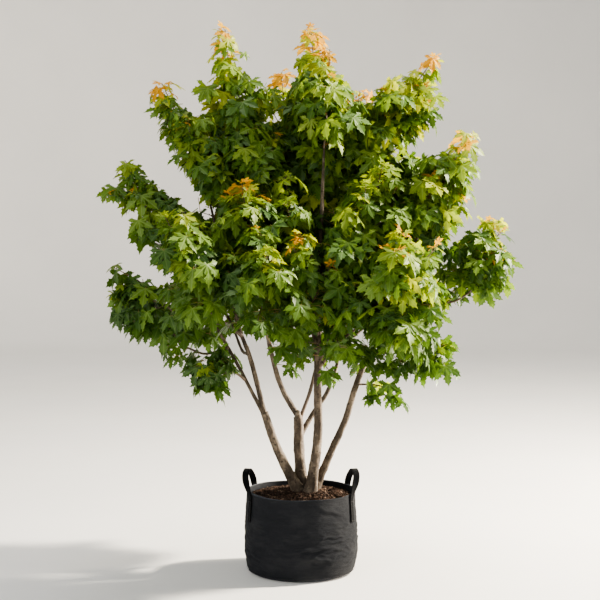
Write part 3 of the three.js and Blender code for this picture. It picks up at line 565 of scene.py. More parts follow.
CHIP_LOOKS = (
    ("dark_bark_chips", (0.011, 0.0072, 0.0053), (0.048, 0.029, 0.0205)),
    ("red_bark_chips", (0.029, 0.017, 0.012), (0.115, 0.067, 0.046)),
    ("pale_bark_chips", (0.082, 0.054, 0.040), (0.26, 0.180, 0.130)),
)
deal = np.random.default_rng(41)
chip_corners = np.array([(x, y, z) for z in (-1, 1) for y in (-1, 1) for x in (-1, 1)], float)
chip_faces = np.array([(0, 2, 3, 1), (4, 5, 7, 6), (0, 1, 5, 4), (2, 6, 7, 3), (0, 4, 6, 2), (1, 3, 7, 5)])
chip_piles = {name: ([], []) for name, _, _ in CHIP_LOOKS}
for _ in range(CHIP_COUNT):
    name = CHIP_LOOKS[deal.choice(len(CHIP_LOOKS), p=CHIP_SHARES)][0]
    points, faces = chip_piles[name]
    radius = (MIX_RADIUS - 0.013) * math.sqrt(deal.uniform())
    turn = deal.uniform(0, 2 * math.pi)
    size = deal.uniform(CHIP_SMALLEST, CHIP_LARGEST)
    block = chip_corners * size * (1 + deal.uniform(-0.32, 0.32, (8, 3)))
    yaw, tilt, roll = deal.uniform(0, 2 * math.pi), deal.normal(0, 0.35), deal.normal(0, 0.4)
    lie = np.array(Euler((roll, tilt, yaw)).to_matrix()).T
    place = (radius * math.cos(turn), radius * math.sin(turn), mix_height(radius) + deal.uniform(0, 0.004))
    faces.append(chip_faces + 8 * len(points))
    points.append(block @ lie + place)
for name, dark, light in CHIP_LOOKS:
    points, faces = chip_piles[name]
    chip_look = earth_look(name, dark, light, 220)
    chips = new_mesh(name, np.concatenate(points), np.concatenate(faces), chip_look, smooth=False)
    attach(chips, "root")


# Stems
# Four stems of grey-brown bark rise from one stool. They flare a little at the soil, taper to
# their forks, and carry dark lenticels, short level scars and the collars of lost twigs.

STEM_GAP = 0.0003
STEM_FOOT = MIX_TOP + STEM_GAP
# Each stem, in millimetres: its radius at the foot and the fork, and the places it runs through
STEMS = {
    "stem_centre": ((25, 5), ((44, -22, 366.3), (75, -42, 611), (77, -80, 909),
                              (81, -105, 1259), (92, -110, 1631), (103, -110, 1930))),
    "stem_left": ((23, 17.5), ((-8, 6, 366.3), (-76, -8, 495), (-127, -20, 618), (-166, -30, 735))),
    "stem_back": ((25, 22.5), ((4, 52, 366.3), (-6, 46, 540), (-12, 38, 705))),
    "stem_right": ((18.5, 12), ((62, 36, 366.3), (129, 32, 521), (203, 22, 690),
                                (257, 4, 868), (327, -14, 1045))),
}
FLARE = 0.48
FLARE_HEIGHT = 0.052
COLLAR_HEIGHT = 0.03
OLD_NODE_GAPS = (0.06, 0.13)
OLD_NODE_SWELL = 0.055
OLD_NODE_LENGTH = 0.006
SWAY = 0.0035
STEM_BURIED = 0.02
limbs = {}


def curve_at(knots, shares):
    """Points at shares of the way along the smooth curve through the knots"""
    knots = np.asarray(knots, float)
    shares = np.atleast_1d(np.asarray(shares, float))
    ends = np.vstack([2 * knots[0] - knots[1], knots, 2 * knots[-1] - knots[-2]])
    place = np.clip(shares, 0, 1) * (len(knots) - 1)
    k = np.minimum(place.astype(int), len(knots) - 2)
    w = (place - k)[:, None]
    before, low, high, after = ends[k], ends[k + 1], ends[k + 2], ends[k + 3]
    leave, arrive = 0.5 * (high - before), 0.5 * (after - low)
    cubic = 2 * low - 2 * high + leave + arrive
    square = -3 * low + 3 * high - 2 * leave - arrive
    return ((cubic * w + square) * w + leave) * w + low


def heading_at(knots, share):
    """The way a limb points at a share of its length"""
    one, two = curve_at(knots, (max(0, share - 1e-3), min(1, share + 1e-3)))
    return (two - one) / np.linalg.norm(two - one)


def curve_length(knots):
    return float(np.linalg.norm(np.diff(curve_at(knots, np.linspace(0, 1, 60)), axis=0), axis=1).sum())


def round_limb(knots, radius_at, bend, sides, steps):
    """Rings of points round a bent curve; radius_at takes a share and an angle"""
    shares = np.linspace(0, 1, steps + 1)
    middles = curve_at(knots, shares) + bend(shares)
    across = np.array((1.0, 0.0, 0.0))
    points = []
    for k, share in enumerate(shares):
        ahead = middles[min(k + 1, steps)] - middles[max(k - 1, 0)]
        ahead = ahead / np.linalg.norm(ahead)
        if abs(across @ ahead) > 0.95:
            across = np.array((0.0, 1.0, 0.0))
        across = across - ahead * (across @ ahead)
        across = across / np.linalg.norm(across)
        second = np.cross(ahead, across)
        for side in range(sides):
            angle = 2 * math.pi * side / sides
            spoke = across * math.cos(angle) + second * math.sin(angle)
            points.append(middles[k] + spoke * radius_at(share, angle))
    points.append(middles[0])
    points.append(middles[-1])
    return np.array(points)


def limb_faces(rings, sides):
    """Triangles of a limb's rings and its two ends"""
    quads = grid_faces(rings, sides)
    faces = [quads[:, (0, 1, 2)], quads[:, (0, 2, 3)]]
    ring = np.arange(sides)
    beside = (ring + 1) % sides
    foot, tip, last = rings * sides, rings * sides + 1, (rings - 1) * sides
    faces.append(np.stack([beside, ring, np.full(sides, foot)], 1))
    faces.append(np.stack([last + ring, last + beside, np.full(sides, tip)], 1))
    return np.concatenate(faces)


def bark_relief(point):
    """Small unevenness of bark at a place, in shares of the limb's radius"""
    x, y, z = point
    ripple = noise.noise(Vector((x * 55, y * 55, z * 16)))
    grain = noise.noise(Vector((x * 190, y * 190, z * 60 + 3)))
    return 1 + 0.105 * ripple + 0.045 * grain


def make_limb(knots, radii, name, sides, step, collar=0.0, standing=False):
    """Points and faces of one tapering limb with its flare or collar, relief and old nodes"""
    length = curve_length(knots)
    chance = np.random.default_rng(sum(ord(letter) for letter in name))
    old_nodes = np.cumsum(chance.uniform(*OLD_NODE_GAPS, 40)) / length
    knots = np.asarray(knots, float)

    def radius_at(share, angle):
        radius = radii[0] + (radii[1] - radii[0]) * share
        if standing:
            lobes = 1 + 0.30 * math.sin(3 * angle + radii[0] * 400)
            radius *= 1 + FLARE * lobes * math.exp(-share * length / FLARE_HEIGHT)
        if collar:
            radius *= 1 + collar * math.exp(-share * length / COLLAR_HEIGHT)
        ring = np.exp(-(((old_nodes - share) * length / OLD_NODE_LENGTH) ** 2)).sum()
        radius *= 1 + OLD_NODE_SWELL * ring
        middle = curve_at(knots, share)[0]
        around = middle + radius * np.array((math.cos(angle), math.sin(angle), 0))
        return radius * bark_relief(around)

    def bend(shares):
        held = np.sin(np.pi * shares) * SWAY
        sways = []
        for lane in (0.5, 7.5):
            places = [Vector((share * length * 9, radii[0] * 900, lane)) for share in shares]
            sways.append(np.array([noise.noise(place) for place in places]) * held)
        return np.stack([*sways, shares * 0], 1)

    steps = max(6, round(length / step))
    points = round_limb(knots, radius_at, bend, sides, steps)
    return points, limb_faces(steps + 1, sides)


def collect(parts):
    """One list of points and one of faces from several bodies"""
    points, faces, count = [], [], 0
    for part_points, part_faces in parts:
        points.append(part_points)
        faces.append(part_faces + count)
        count += len(part_points)
    return np.concatenate(points), np.concatenate(faces)


bark = Nodes("stem_bark")
bark_broad = bark.noise(24, detail=6, roughness=0.65, stretch=(1, 1, 0.45))
knot = bark.cells(27, stretch=(1, 1, 1.5))
bark_fine = bark.noise(110, detail=6, roughness=0.7, stretch=(1, 1, 0.35))
bark_lichen = bark.noise(32, detail=5, roughness=0.7)
lenticel = bark.cells(58, stretch=(1, 1, 1.7))
scar = bark.noise(26, detail=3, stretch=(0.8, 0.8, 4.5))
BARK_DARK = (0.32, (0.029, 0.021, 0.015))
BARK_BROWN = (0.50, (0.086, 0.065, 0.047))
BARK_GREY = (0.68, (0.25, 0.198, 0.146))
bark_tone = bark.ramp(bark_broad, BARK_DARK, BARK_BROWN, BARK_GREY)
bark_tone = bark.mix(bark.math("MULTIPLY", bark_fine, 0.55), bark_tone, (0.050, 0.039, 0.029))
bark_pale = bark.ramp(bark_lichen, (0.56, (0.0, 0.0, 0.0)), (0.70, (1.0, 1.0, 1.0)))
bark_tone = bark.mix(bark.math("MULTIPLY", bark_pale, 0.45), bark_tone, (0.33, 0.275, 0.21))
lenticel_dot = bark.math("LESS_THAN", lenticel, 0.24)
bark_tone = bark.mix(bark.math("MULTIPLY", lenticel_dot, 0.75), bark_tone, (0.026, 0.020, 0.015))
knot_eye = bark.ramp(knot, (0.11, (1.0, 1.0, 1.0)), (0.21, (0.0, 0.0, 0.0)))
bark_tone = bark.mix(bark.math("MULTIPLY", knot_eye, 0.8), bark_tone, (0.028, 0.021, 0.015))
scar_line = bark.ramp(scar, (0.60, (0.0, 0.0, 0.0)), (0.66, (1.0, 1.0, 1.0)))
bark_tone = bark.mix(bark.math("MULTIPLY", scar_line, 0.5), bark_tone, (0.055, 0.043, 0.032))
bark_height = bark.math("ADD", bark_fine, bark.math("MULTIPLY", lenticel_dot, 0.4))
bark_height = bark.math("SUBTRACT", bark_height, bark.math("MULTIPLY", knot_eye, 1.2))
bark.set(Base_Color=bark_tone, Roughness=0.78, Specular_IOR_Level=0.3)
bark.set(Normal=bark.bump(bark_height, 0.7, 0.0022))

stem_parts = []
for name, (radii, through) in STEMS.items():
    knots = np.array(through) / 1000
    radii = np.array(radii) / 1000
    limbs[name] = (knots, radii)
    buried = knots.copy()
    buried[0] = knots[0] + (knots[0] - knots[1]) * STEM_BURIED
    stem_parts.append(make_limb(buried, radii, name, 26, 0.006, standing=True))

STUB_ROOT = (-0.012, 0.030, 0.706)
STUB_TIP = (-0.014, -0.002, 0.736)
stub_knots = np.array((STUB_ROOT, (np.array(STUB_ROOT) + STUB_TIP) / 2, STUB_TIP))
stem_parts.append(make_limb(stub_knots, (0.013, 0.010), "pruned_stub", 16, 0.004, collar=0.3))
stems = new_mesh("stems", *collect(stem_parts), bark.material)
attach(stems, "root")
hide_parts(*STEMS)


# Boughs
# Younger limbs that leave the stems at a swollen collar and taper into the crown. Their bark
# turns from the stems' grey to a smooth brown as they thin.

# Each bough: the limb that carries it, how far along, and then, in millimetres, its two radii and
# the places it runs through
BOUGHS = {
    "bough_left_rising": ("stem_left", 1, (12.5, 7),
                          ((-226, -60, 975), (-280, -80, 1130), (-345, -68, 1400))),
    "bough_left_outer": ("stem_left", 0.9, (9, 5.5),
                         ((-244, -62, 875), (-350, -95, 1080), (-470, -110, 1270), (-540, -100, 1385))),
    "bough_far_left": ("bough_left_outer", 0.6, (5.5, 4.5), ((-490, -110, 1160), (-570, -112, 1200))),
    "bough_low_left": ("bough_left_outer", 0.45, (6, 4.5), ((-430, -80, 1010), (-520, -75, 1040))),
    "bough_low_front_left": ("bough_left_outer", 0.27, (5.5, 4.5), ((-300, -120, 930), (-350, -165, 930))),
    "bough_left_front": ("bough_left_rising", 0.6, (7, 5), ((-330, -165, 1150), (-400, -250, 1210))),
    "bough_back_left": ("bough_left_rising", 0.4, (8, 5.5), ((-270, 70, 1010), (-320, 240, 1100))),
    "bough_front": ("stem_back", 1, (14, 8), ((-88, 6, 851), (-145, -50, 1061), (-166, -125, 1240))),
    "bough_low_front": ("bough_front", 0.66, (6, 4.5), ((-150, -150, 1100), (-160, -260, 1120))),
    "bough_behind_centre": ("stem_back", 0.9, (9, 6), ((47, 75, 842), (80, 110, 1000), (110, 120, 1400))),
    "bough_top_middle": ("bough_behind_centre", 0.85, (6, 5), ((70, 140, 1390), (20, 165, 1540))),
    "bough_back_centre": ("bough_behind_centre", 0.67, (7, 5.5), ((80, 200, 1130), (70, 330, 1210))),
    "bough_back_rising": ("stem_back", 0.7, (13, 7),
                          ((47, 82, 700), (130, 95, 830), (178, 120, 994), (264, 122, 1600))),
    "bough_top_right": ("bough_back_rising", 0.88, (6, 5), ((212, 165, 1440), (222, 185, 1560))),
    "bough_back_right": ("bough_back_rising", 0.75, (7, 5.5), ((250, 220, 1060), (330, 300, 1120))),
    "bough_right_rising": ("stem_right", 1, (10, 7), ((420, -35, 1290), (465, -40, 1400))),
    "bough_right_back": ("bough_right_rising", 0.5, (6, 5), ((435, 30, 1370), (460, 70, 1430))),
    "bough_far_right": ("bough_right_rising", 0.2, (7, 5),
                        ((500, -30, 1175), (600, -24, 1240), (680, -16, 1315))),
    "bough_right_edge": ("bough_far_right", 0.66, (5, 4.5), ((690, -60, 1245), (757, -70, 1285))),
    "bough_low_right": ("stem_right", 0.93, (6, 4.5), ((390, -20, 1010), (480, -40, 1025))),
    "bough_low_front_right": ("stem_right", 0.88, (6, 4.5), ((350, -130, 1020), (400, -220, 1060))),
    "bough_front_right": ("stem_centre", 0.42, (7, 5), ((180, -200, 1080), (270, -270, 1160))),
    "bough_top_left": ("stem_centre", 0.45, (8, 6), ((20, -80, 1250), (-60, -45, 1440))),
}
OLD_BOUGHS = (
    "bough_left_rising", "bough_left_outer", "bough_front", "bough_back_rising", "bough_right_rising",
)
BOUGH_COLLAR = 0.55


def start_on(limb, share):
    """Where a limb or shoot starts: a share of the way along the limb that carries it"""
    return curve_at(limbs[limb][0], share)[0]


young_bark = Nodes("young_bark")
young_broad = young_bark.noise(14, detail=5, stretch=(1, 1, 0.6))
young_fine = young_bark.noise(170, detail=6, roughness=0.7, stretch=(1, 1, 0.4))
young_dot = young_bark.math("LESS_THAN", young_bark.cells(230, stretch=(1, 1, 1.8)), 0.15)
young_tone = young_bark.ramp(young_broad, (0.32, (0.060, 0.041, 0.029)), (0.68, (0.16, 0.116, 0.083)))
young_tone = young_bark.mix(young_bark.math("MULTIPLY", young_fine, 0.4), young_tone, (0.08, 0.050, 0.034))
young_tone = young_bark.mix(young_bark.math("MULTIPLY", young_dot, 0.7), young_tone, (0.36, 0.29, 0.21))
young_bark.set(Base_Color=young_tone, Roughness=0.62, Normal=young_bark.bump(young_fine, 0.4, 0.0008))

old_parts, young_parts = [], []
for name, (parent, share, radii, through) in BOUGHS.items():
    knots = np.vstack([start_on(parent, share), np.array(through) / 1000])
    radii = np.array(radii) / 1000
    limbs[name] = (knots, radii)
    parts = old_parts if name in OLD_BOUGHS else young_parts
    sides, step = (18, 0.008) if name in OLD_BOUGHS else (12, 0.010)
    collar = 0.0 if share == 1 else BOUGH_COLLAR
    parts.append(make_limb(knots, radii, name, sides, step, collar=collar))
old_boughs = new_mesh("old_boughs", *collect(old_parts), bark.material)
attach(old_boughs, "root")
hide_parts(*OLD_BOUGHS)
young_boughs = new_mesh("young_boughs", *collect(young_parts), young_bark.material)
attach(young_boughs, "root")
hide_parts(*(name for name in BOUGHS if name not in OLD_BOUGHS))


# Shoots, twigs and leaf stalks
# Each foliage mass is a shoot from a limb's tip or a stem's side. Twigs leave it in opposite
# pairs, each pair turned from the last, and carry pairs of leaves on thin green stalks.

# Each mass: the limb that carries it, how far along, and then, in millimetres, the bend and the
# tip of its shoot and how far its twigs spread
MASSES = {
    "foliage_upper_left": ("bough_left_rising", 1, (-450, -30, 1830), (-628, 0, 2230), 270),
    "foliage_left": ("bough_left_outer", 1, (-655, -80, 1660), (-790, -60, 1880), 250),
    "foliage_far_left": ("bough_far_left", 1, (-700, -100, 1320), (-840, -80, 1400), 190),
    "foliage_low_left": ("bough_low_left", 1, (-700, -70, 1225), (-840, -60, 1270), 185),
    "foliage_low_front_left": ("bough_low_front_left", 1, (-400, -205, 965), (-440, -240, 935), 165),
    "foliage_left_front": ("bough_left_front", 1, (-470, -360, 1400), (-500, -430, 1640), 320),
    "foliage_back_left": ("bough_back_left", 1, (-440, 400, 1350), (-500, 470, 1720), 350),
    "foliage_front": ("bough_front", 1, (-220, -235, 1500), (-253, -330, 1765), 270),
    "foliage_low_front": ("bough_low_front", 1, (-180, -380, 1340), (-200, -460, 1470), 280),
    "foliage_top_left": ("bough_top_left", 1, (-265, 10, 1860), (-342, 0, 2465), 290),
    "foliage_top_middle": ("bough_top_middle", 1, (-50, 200, 1900), (-92, 220, 2300), 260),
    "foliage_top_back": ("bough_behind_centre", 1, (90, 100, 1950), (46, 60, 2475), 230),
    "foliage_top_centre": ("stem_centre", 1, (118, -108, 2150), (128, -100, 2370), 220),
    "foliage_top_right": ("bough_top_right", 1, (250, 215, 1900), (275, 230, 2215), 265),
    "foliage_upper_right": ("bough_back_rising", 1, (375, 95, 2010), (606, 30, 2345), 290),
    "foliage_right_back": ("bough_right_back", 1, (510, 180, 1660), (570, 220, 1900), 320),
    "foliage_right_rising": ("bough_right_rising", 1, (610, -52, 1720), (755, -60, 2000), 240),
    "foliage_far_right": ("bough_far_right", 1, (790, -8, 1470), (880, 0, 1620), 190),
    "foliage_right_edge": ("bough_right_edge", 1, (835, -70, 1370), (900, -60, 1470), 165),
    "foliage_low_right": ("bough_low_right", 1, (600, -55, 1040), (720, -60, 1030), 220),
    "foliage_low_front_right": ("bough_low_front_right", 1, (480, -310, 1210), (560, -360, 1300), 280),
    "foliage_front_right": ("bough_front_right", 1, (400, -360, 1350), (470, -390, 1530), 290),
    "foliage_back_centre": ("bough_back_centre", 1, (60, 450, 1500), (60, 500, 1950), 360),
    "foliage_back_right": ("bough_back_right", 1, (460, 400, 1350), (540, 450, 1680), 340),
    "foliage_front_centre": ("stem_centre", 0.5, (40, -280, 1330), (0, -390, 1545), 270),
    "foliage_low_centre": ("stem_centre", 0.42, (160, -230, 1200), (230, -330, 1340), 260),
    "foliage_centre_left": ("stem_centre", 0.58, (-10, -150, 1450), (-70, -170, 1800), 290),
    "foliage_centre_right": ("stem_centre", 0.62, (250, -140, 1520), (365, -150, 1850), 330),
    "foliage_sprig": ("stem_right", 0.74, (330, -20, 862), (402, -40, 850), 80),
}
SEED = 7100
NODE_SPACING = 0.062
TWIG_PAIR_SPACING = 0.058
SPIRE_PAIR_SPACING = 0.036
TWIG_ANGLE_LOW = 68
TWIG_ANGLE_HIGH = 38
TWIG_RISE = 0.16
TWIG_HANG = -0.20
HANG_BELOW = 1.15
RISE_ABOVE = 1.65
SHORT_TWIG = 0.040
SIDE_TWIG_REACH = 0.42
LEAF = 0.096
LEAF_OVERHANG = 0.85
YOUNG_LEAF = 0.74
BRONZE_LEAF = 0.35
INNER_SPACING = 0.060
STALK = 0.60
SHOOT_TIP = 0.0016
STEM_SHOOT_FOOT = 0.0055
SIDE_SHOOT_RADII = (0.0030, 0.0014)
TWIG_RADIUS = 0.0026
FINE_TWIG_RADIUS = 0.0020
STALK_RADII = (0.0011, 0.0008)
LONG_SHOOT = 0.35
# Gaps in the crown as seen from the picture's side: across, height and radius
SKY_GAPS = {
    "between the left tiers": (
        (-0.700, 1.421, 0.068), (-0.805, 1.376, 0.055), (-0.733, 1.344, 0.050), (-0.660, 1.326, 0.041),
        (-0.610, 1.353, 0.055), (-0.583, 1.294, 0.036), (-0.858, 1.558, 0.091), (-0.805, 1.449, 0.068),
        (-0.875, 1.244, 0.027), (-0.717, 1.644, 0.036),
    ),
    "under the upper left spire": (
        (-0.728, 1.965, 0.091), (-0.657, 1.866, 0.086), (-0.566, 1.775, 0.086), (-0.494, 1.703, 0.064),
        (-0.422, 1.649, 0.059), (-0.458, 1.735, 0.036),
    ),
    "between the top spires": ((-0.108, 2.055, 0.050), (-0.324, 2.302, 0.018), (0.195, 2.297, 0.036)),
    "round the upper right spire": (
        (0.558, 1.938, 0.064), (0.621, 1.929, 0.050), (0.499, 1.920, 0.036), (0.637, 2.207, 0.050),
        (0.673, 2.306, 0.055), (0.682, 2.216, 0.055), (0.661, 2.104, 0.059), (0.670, 2.046, 0.045),
    ),
    "under the right spire": (
        (0.839, 1.793, 0.055), (0.845, 1.676, 0.050), (0.769, 1.576, 0.064), (0.705, 1.540, 0.045),
        (0.732, 1.603, 0.045), (0.674, 1.485, 0.027), (0.523, 1.521, 0.032), (0.560, 1.481, 0.027),
    ),
    "round the far right mass": (
        (1.005, 1.521, 0.041), (1.025, 1.412, 0.055), (1.008, 1.294, 0.050), (0.917, 1.221, 0.036),
        (0.826, 1.221, 0.036), (0.763, 1.120, 0.127), (0.691, 0.964, 0.032), (0.736, 1.019, 0.059),
    ),
    "beside the left stem": (
        (-0.251, 1.042, 0.068), (-0.296, 1.074, 0.041), (-0.443, 0.964, 0.045), (-0.360, 1.148, 0.032),
        (-0.296, 1.184, 0.027), (-0.250, 1.193, 0.023),
    ),
    "within the low left mass": (
        (-0.674, 1.248, 0.023), (-0.688, 1.193, 0.027), (-0.629, 1.189, 0.027), (-0.606, 1.216, 0.023),
    ),
    "above the sprig": (
        (0.261, 0.868, 0.036), (0.325, 0.877, 0.045), (0.389, 0.872, 0.041), (0.454, 0.854, 0.036),
        (0.509, 0.826, 0.036), (0.225, 0.845, 0.050), (0.202, 0.808, 0.041), (0.252, 0.799, 0.027),
    ),
}
# The crown's upper and lower outline from the same side: across and height
CROWN_TOP = (
    (-0.93, 1.68), (-0.91, 1.75), (-0.87, 1.80), (-0.84, 1.82), (-0.80, 1.88), (-0.77, 1.87), (-0.72, 1.80),
    (-0.69, 2.15), (-0.65, 2.24), (-0.62, 2.25), (-0.54, 2.21), (-0.53, 2.11), (-0.47, 2.06), (-0.46, 2.12),
    (-0.45, 2.30), (-0.40, 2.35), (-0.38, 2.50), (-0.35, 2.54), (-0.32, 2.51), (-0.29, 2.38), (-0.25, 2.36),
    (-0.22, 2.23), (-0.15, 2.22), (-0.11, 2.29), (-0.08, 2.31), (-0.02, 2.30), (0.00, 2.46), (0.03, 2.54),
    (0.07, 2.50), (0.125, 2.44), (0.15, 2.25), (0.21, 2.21), (0.36, 2.21), (0.43, 2.27), (0.50, 2.32),
    (0.57, 2.35), (0.61, 2.39), (0.64, 2.35), (0.66, 2.15), (0.70, 1.93), (0.745, 2.01), (0.80, 2.00),
    (0.82, 1.61), (0.90, 1.64), (0.94, 1.55),
)
UNDERSIDE = (
    (-0.95, 1.14), (-0.84, 1.13), (-0.75, 1.08), (-0.66, 1.05), (-0.63, 0.95), (-0.54, 0.95), (-0.49, 0.84),
    (-0.46, 0.77), (-0.40, 0.77), (-0.36, 0.81), (-0.28, 0.89), (-0.25, 0.90), (-0.22, 1.01), (-0.11, 1.03),
    (-0.09, 0.90), (0.00, 0.89), (0.03, 1.00), (0.08, 1.01), (0.10, 0.86), (0.15, 0.86), (0.18, 0.93),
    (0.24, 0.885), (0.36, 0.875), (0.42, 0.86), (0.60, 0.865), (0.64, 0.85), (0.70, 0.85), (0.72, 0.95),
    (0.75, 1.22), (1.00, 1.22),
)
TIP_BELOW = 0.030
LEADER_CLEAR = 0.030
LEADER_FROM = 0.95
LEADER_TO = 1.93
SUNNY_ABOVE = 1.90
GREEN_TIPS = (
    "foliage_low_left", "foliage_low_front_left", "foliage_left_front",
    "foliage_low_front", "foliage_low_right", "foliage_low_centre", "foliage_centre_left",
    "foliage_centre_right", "foliage_right_back", "foliage_sprig",
)
# Each side spray: its limb, how far along, the way it points, its reach and the size of its leaves
SIDE_SPRAYS = (
    ("bough_front", 0.50, (0.9, 0.2, 0.0), 0.045, 0.062),
    ("bough_back_rising", 0.60, (-0.5, -0.7, 0.1), 0.035, 0.052),
    ("bough_behind_centre", 0.45, (0.5, 0.6, 0.1), 0.070, 0.075),
    ("bough_left_outer", 0.45, (-0.5, 0.4, -0.3), 0.100, 0.090),
    ("bough_left_outer", 0.50, (0.5, -0.5, -0.3), 0.050, 0.070),
    ("bough_left_rising", 0.50, (0.4, -0.6, -0.1), 0.060, 0.070),
    ("bough_low_left", 0.70, (-0.3, -0.4, -0.5), 0.060, 0.085),
    ("bough_low_left", 0.95, (-0.5, 0.4, -0.5), 0.070, 0.085),
    ("bough_low_left", 0.45, (-0.2, -0.6, -0.6), 0.060, 0.090),
    ("bough_low_left", 0.30, (0.1, -0.8, 0.2), 0.040, 0.085),
    ("bough_low_left", 0.55, (-0.2, -0.7, 0.2), 0.040, 0.085),
    ("foliage_low_left", 0.40, (-0.3, -0.4, -0.8), 0.080, 0.085),
    ("foliage_low_left", 0.65, (-0.4, 0.3, -0.8), 0.080, 0.085),
    ("foliage_low_left", 0.85, (-0.3, -0.3, -0.8), 0.070, 0.080),
    ("foliage_low_front_left", 0.55, (0.1, -0.2, -0.9), 0.050, 0.090),
    ("foliage_low_front_left", 0.90, (-0.1, -0.3, -0.9), 0.055, 0.105),
    ("bough_low_left", 0.15, (-0.1, -0.7, -0.4), 0.040, 0.085),
    ("bough_low_left", 0.70, (0.2, -0.7, -0.3), 0.040, 0.085),
    ("foliage_left", 0.80, (-0.8, -0.1, -0.5), 0.120, 0.080),
    ("foliage_upper_left", 0.90, (-0.9, -0.2, 0.0), 0.080, 0.070),
    ("foliage_upper_left", 0.75, (-0.9, -0.2, -0.2), 0.110, 0.080),
    ("foliage_upper_left", 0.88, (0.9, -0.3, -0.1), 0.070, 0.075),
    ("foliage_upper_left", 0.60, (-0.8, -0.3, -0.2), 0.130, 0.085),
    ("foliage_top_left", 0.90, (-0.9, -0.2, -0.1), 0.070, 0.065),
    ("foliage_top_left", 0.95, (-0.4, -0.6, -0.3), 0.035, 0.070),
    ("foliage_top_left", 0.86, (0.2, -0.8, -0.2), 0.045, 0.075),
    ("foliage_top_left", 0.78, (-0.9, -0.3, 0.0), 0.100, 0.080),
    ("foliage_top_left", 0.55, (-0.9, -0.3, 0.0), 0.130, 0.085),
    ("foliage_top_left", 0.80, (0.9, -0.3, 0.0), 0.100, 0.085),
    ("foliage_top_left", 0.66, (0.9, -0.3, -0.1), 0.140, 0.085),
    ("foliage_top_left", 0.91, (0.9, -0.2, 0.0), 0.075, 0.065),
    ("foliage_top_left", 0.74, (0.9, -0.2, 0.2), 0.130, 0.080),
    ("foliage_top_middle", 0.90, (-0.8, -0.4, -0.1), 0.070, 0.075),
    ("foliage_top_middle", 0.88, (0.7, -0.4, -0.1), 0.060, 0.075),
    ("foliage_top_middle", 0.80, (-0.8, -0.4, 0.1), 0.130, 0.080),
    ("foliage_top_middle", 0.65, (-0.8, -0.4, 0.2), 0.150, 0.085),
    ("foliage_top_back", 0.86, (-0.8, -0.3, -0.1), 0.060, 0.065),
    ("bough_low_front", 0.95, (0.5, 0.2, -0.8), 0.070, 0.085),
    ("foliage_low_centre", 0.12, (-0.9, -0.2, 0.1), 0.110, 0.080),
    ("foliage_low_centre", 0.25, (-0.7, -0.1, -0.5), 0.080, 0.085),
    ("foliage_low_centre", 0.40, (-0.1, -0.3, -0.9), 0.090, 0.085),
    ("foliage_front_centre", 0.35, (-0.5, -0.2, -0.8), 0.090, 0.085),
    ("stem_right", 0.82, (-0.6, -0.5, 0.1), 0.060, 0.080),
    ("stem_right", 0.90, (-0.3, 0.5, -0.2), 0.080, 0.085),
    ("stem_right", 0.96, (0.3, -0.6, -0.4), 0.080, 0.085),
    ("bough_right_rising", 0.10, (0.5, -0.5, -0.3), 0.100, 0.085),
    ("bough_low_right", 0.60, (0.3, -0.6, -0.3), 0.060, 0.085),
    ("bough_low_right", 1.00, (0.5, 0.4, -0.6), 0.080, 0.085),
    ("foliage_low_right", 0.50, (0.5, -0.3, -0.7), 0.080, 0.085),
    ("foliage_low_right", 0.85, (0.3, 0.2, -0.8), 0.080, 0.085),
    ("foliage_right_edge", 0.60, (0.2, -0.3, -0.8), 0.060, 0.080),
    ("bough_right_edge", 0.15, (0.0, -0.5, 0.5), 0.050, 0.075),
    ("bough_right_edge", 0.50, (0.1, -0.5, -0.2), 0.030, 0.080),
    ("bough_right_edge", 0.35, (0.2, -0.6, 0.3), 0.050, 0.070),
    ("bough_right_edge", 0.75, (-0.2, 0.5, 0.4), 0.060, 0.075),
    ("bough_low_right", 0.85, (0.0, -0.5, -0.8), 0.070, 0.085),
    ("bough_low_right", 0.45, (0.0, -0.6, -0.8), 0.060, 0.085),
    ("foliage_sprig", 0.70, (0.1, -0.4, -0.9), 0.030, 0.078),
    ("foliage_sprig", 0.98, (0.6, -0.2, -0.8), 0.035, 0.080),
)
SIDE_SHOOTS = (0.34, 0.50, 0.64)
# Each leaning shoot: its mass, how far along, the way it points and its reach
LEANING_SHOOTS = (
    ("foliage_top_left", 0.40, (0.50, -0.10, 0.90), 0.27),
    ("foliage_top_left", 0.55, (0.75, 0.10, 0.60), 0.22),
    ("foliage_top_middle", 0.40, (-0.55, -0.20, 0.80), 0.24),
    ("foliage_upper_left", 0.50, (-0.20, -0.30, 0.80), 0.25),
    ("foliage_upper_right", 0.66, (0.90, -0.10, 0.12), 0.16),
    ("foliage_right_rising", 0.40, (0.90, -0.10, 0.35), 0.14),
    ("foliage_left", 0.60, (-0.90, -0.20, 0.05), 0.17),
    ("foliage_low_right", 0.30, (0.40, -0.30, -0.50), 0.14),
)
UP = np.array((0.0, 0.0, 1.0))

woody = []
green = []
leaves = []


def unit(way):
    return way / max(1e-9, np.linalg.norm(way))


def turned(way, axis, angle):
    """A direction turned round an axis by an angle"""
    axis = unit(axis)
    kept = axis * (axis @ way) * (1 - math.cos(angle))
    return way * math.cos(angle) + np.cross(axis, way) * math.sin(angle) + kept


def fullness(share):
    """Shape of a mass along its shoot: full low down, drawn in to the tip"""
    return 0.6 + 0.4 * math.sin(math.pi * min(1, share * 1.15 + 0.1)) - 0.3 * share * share


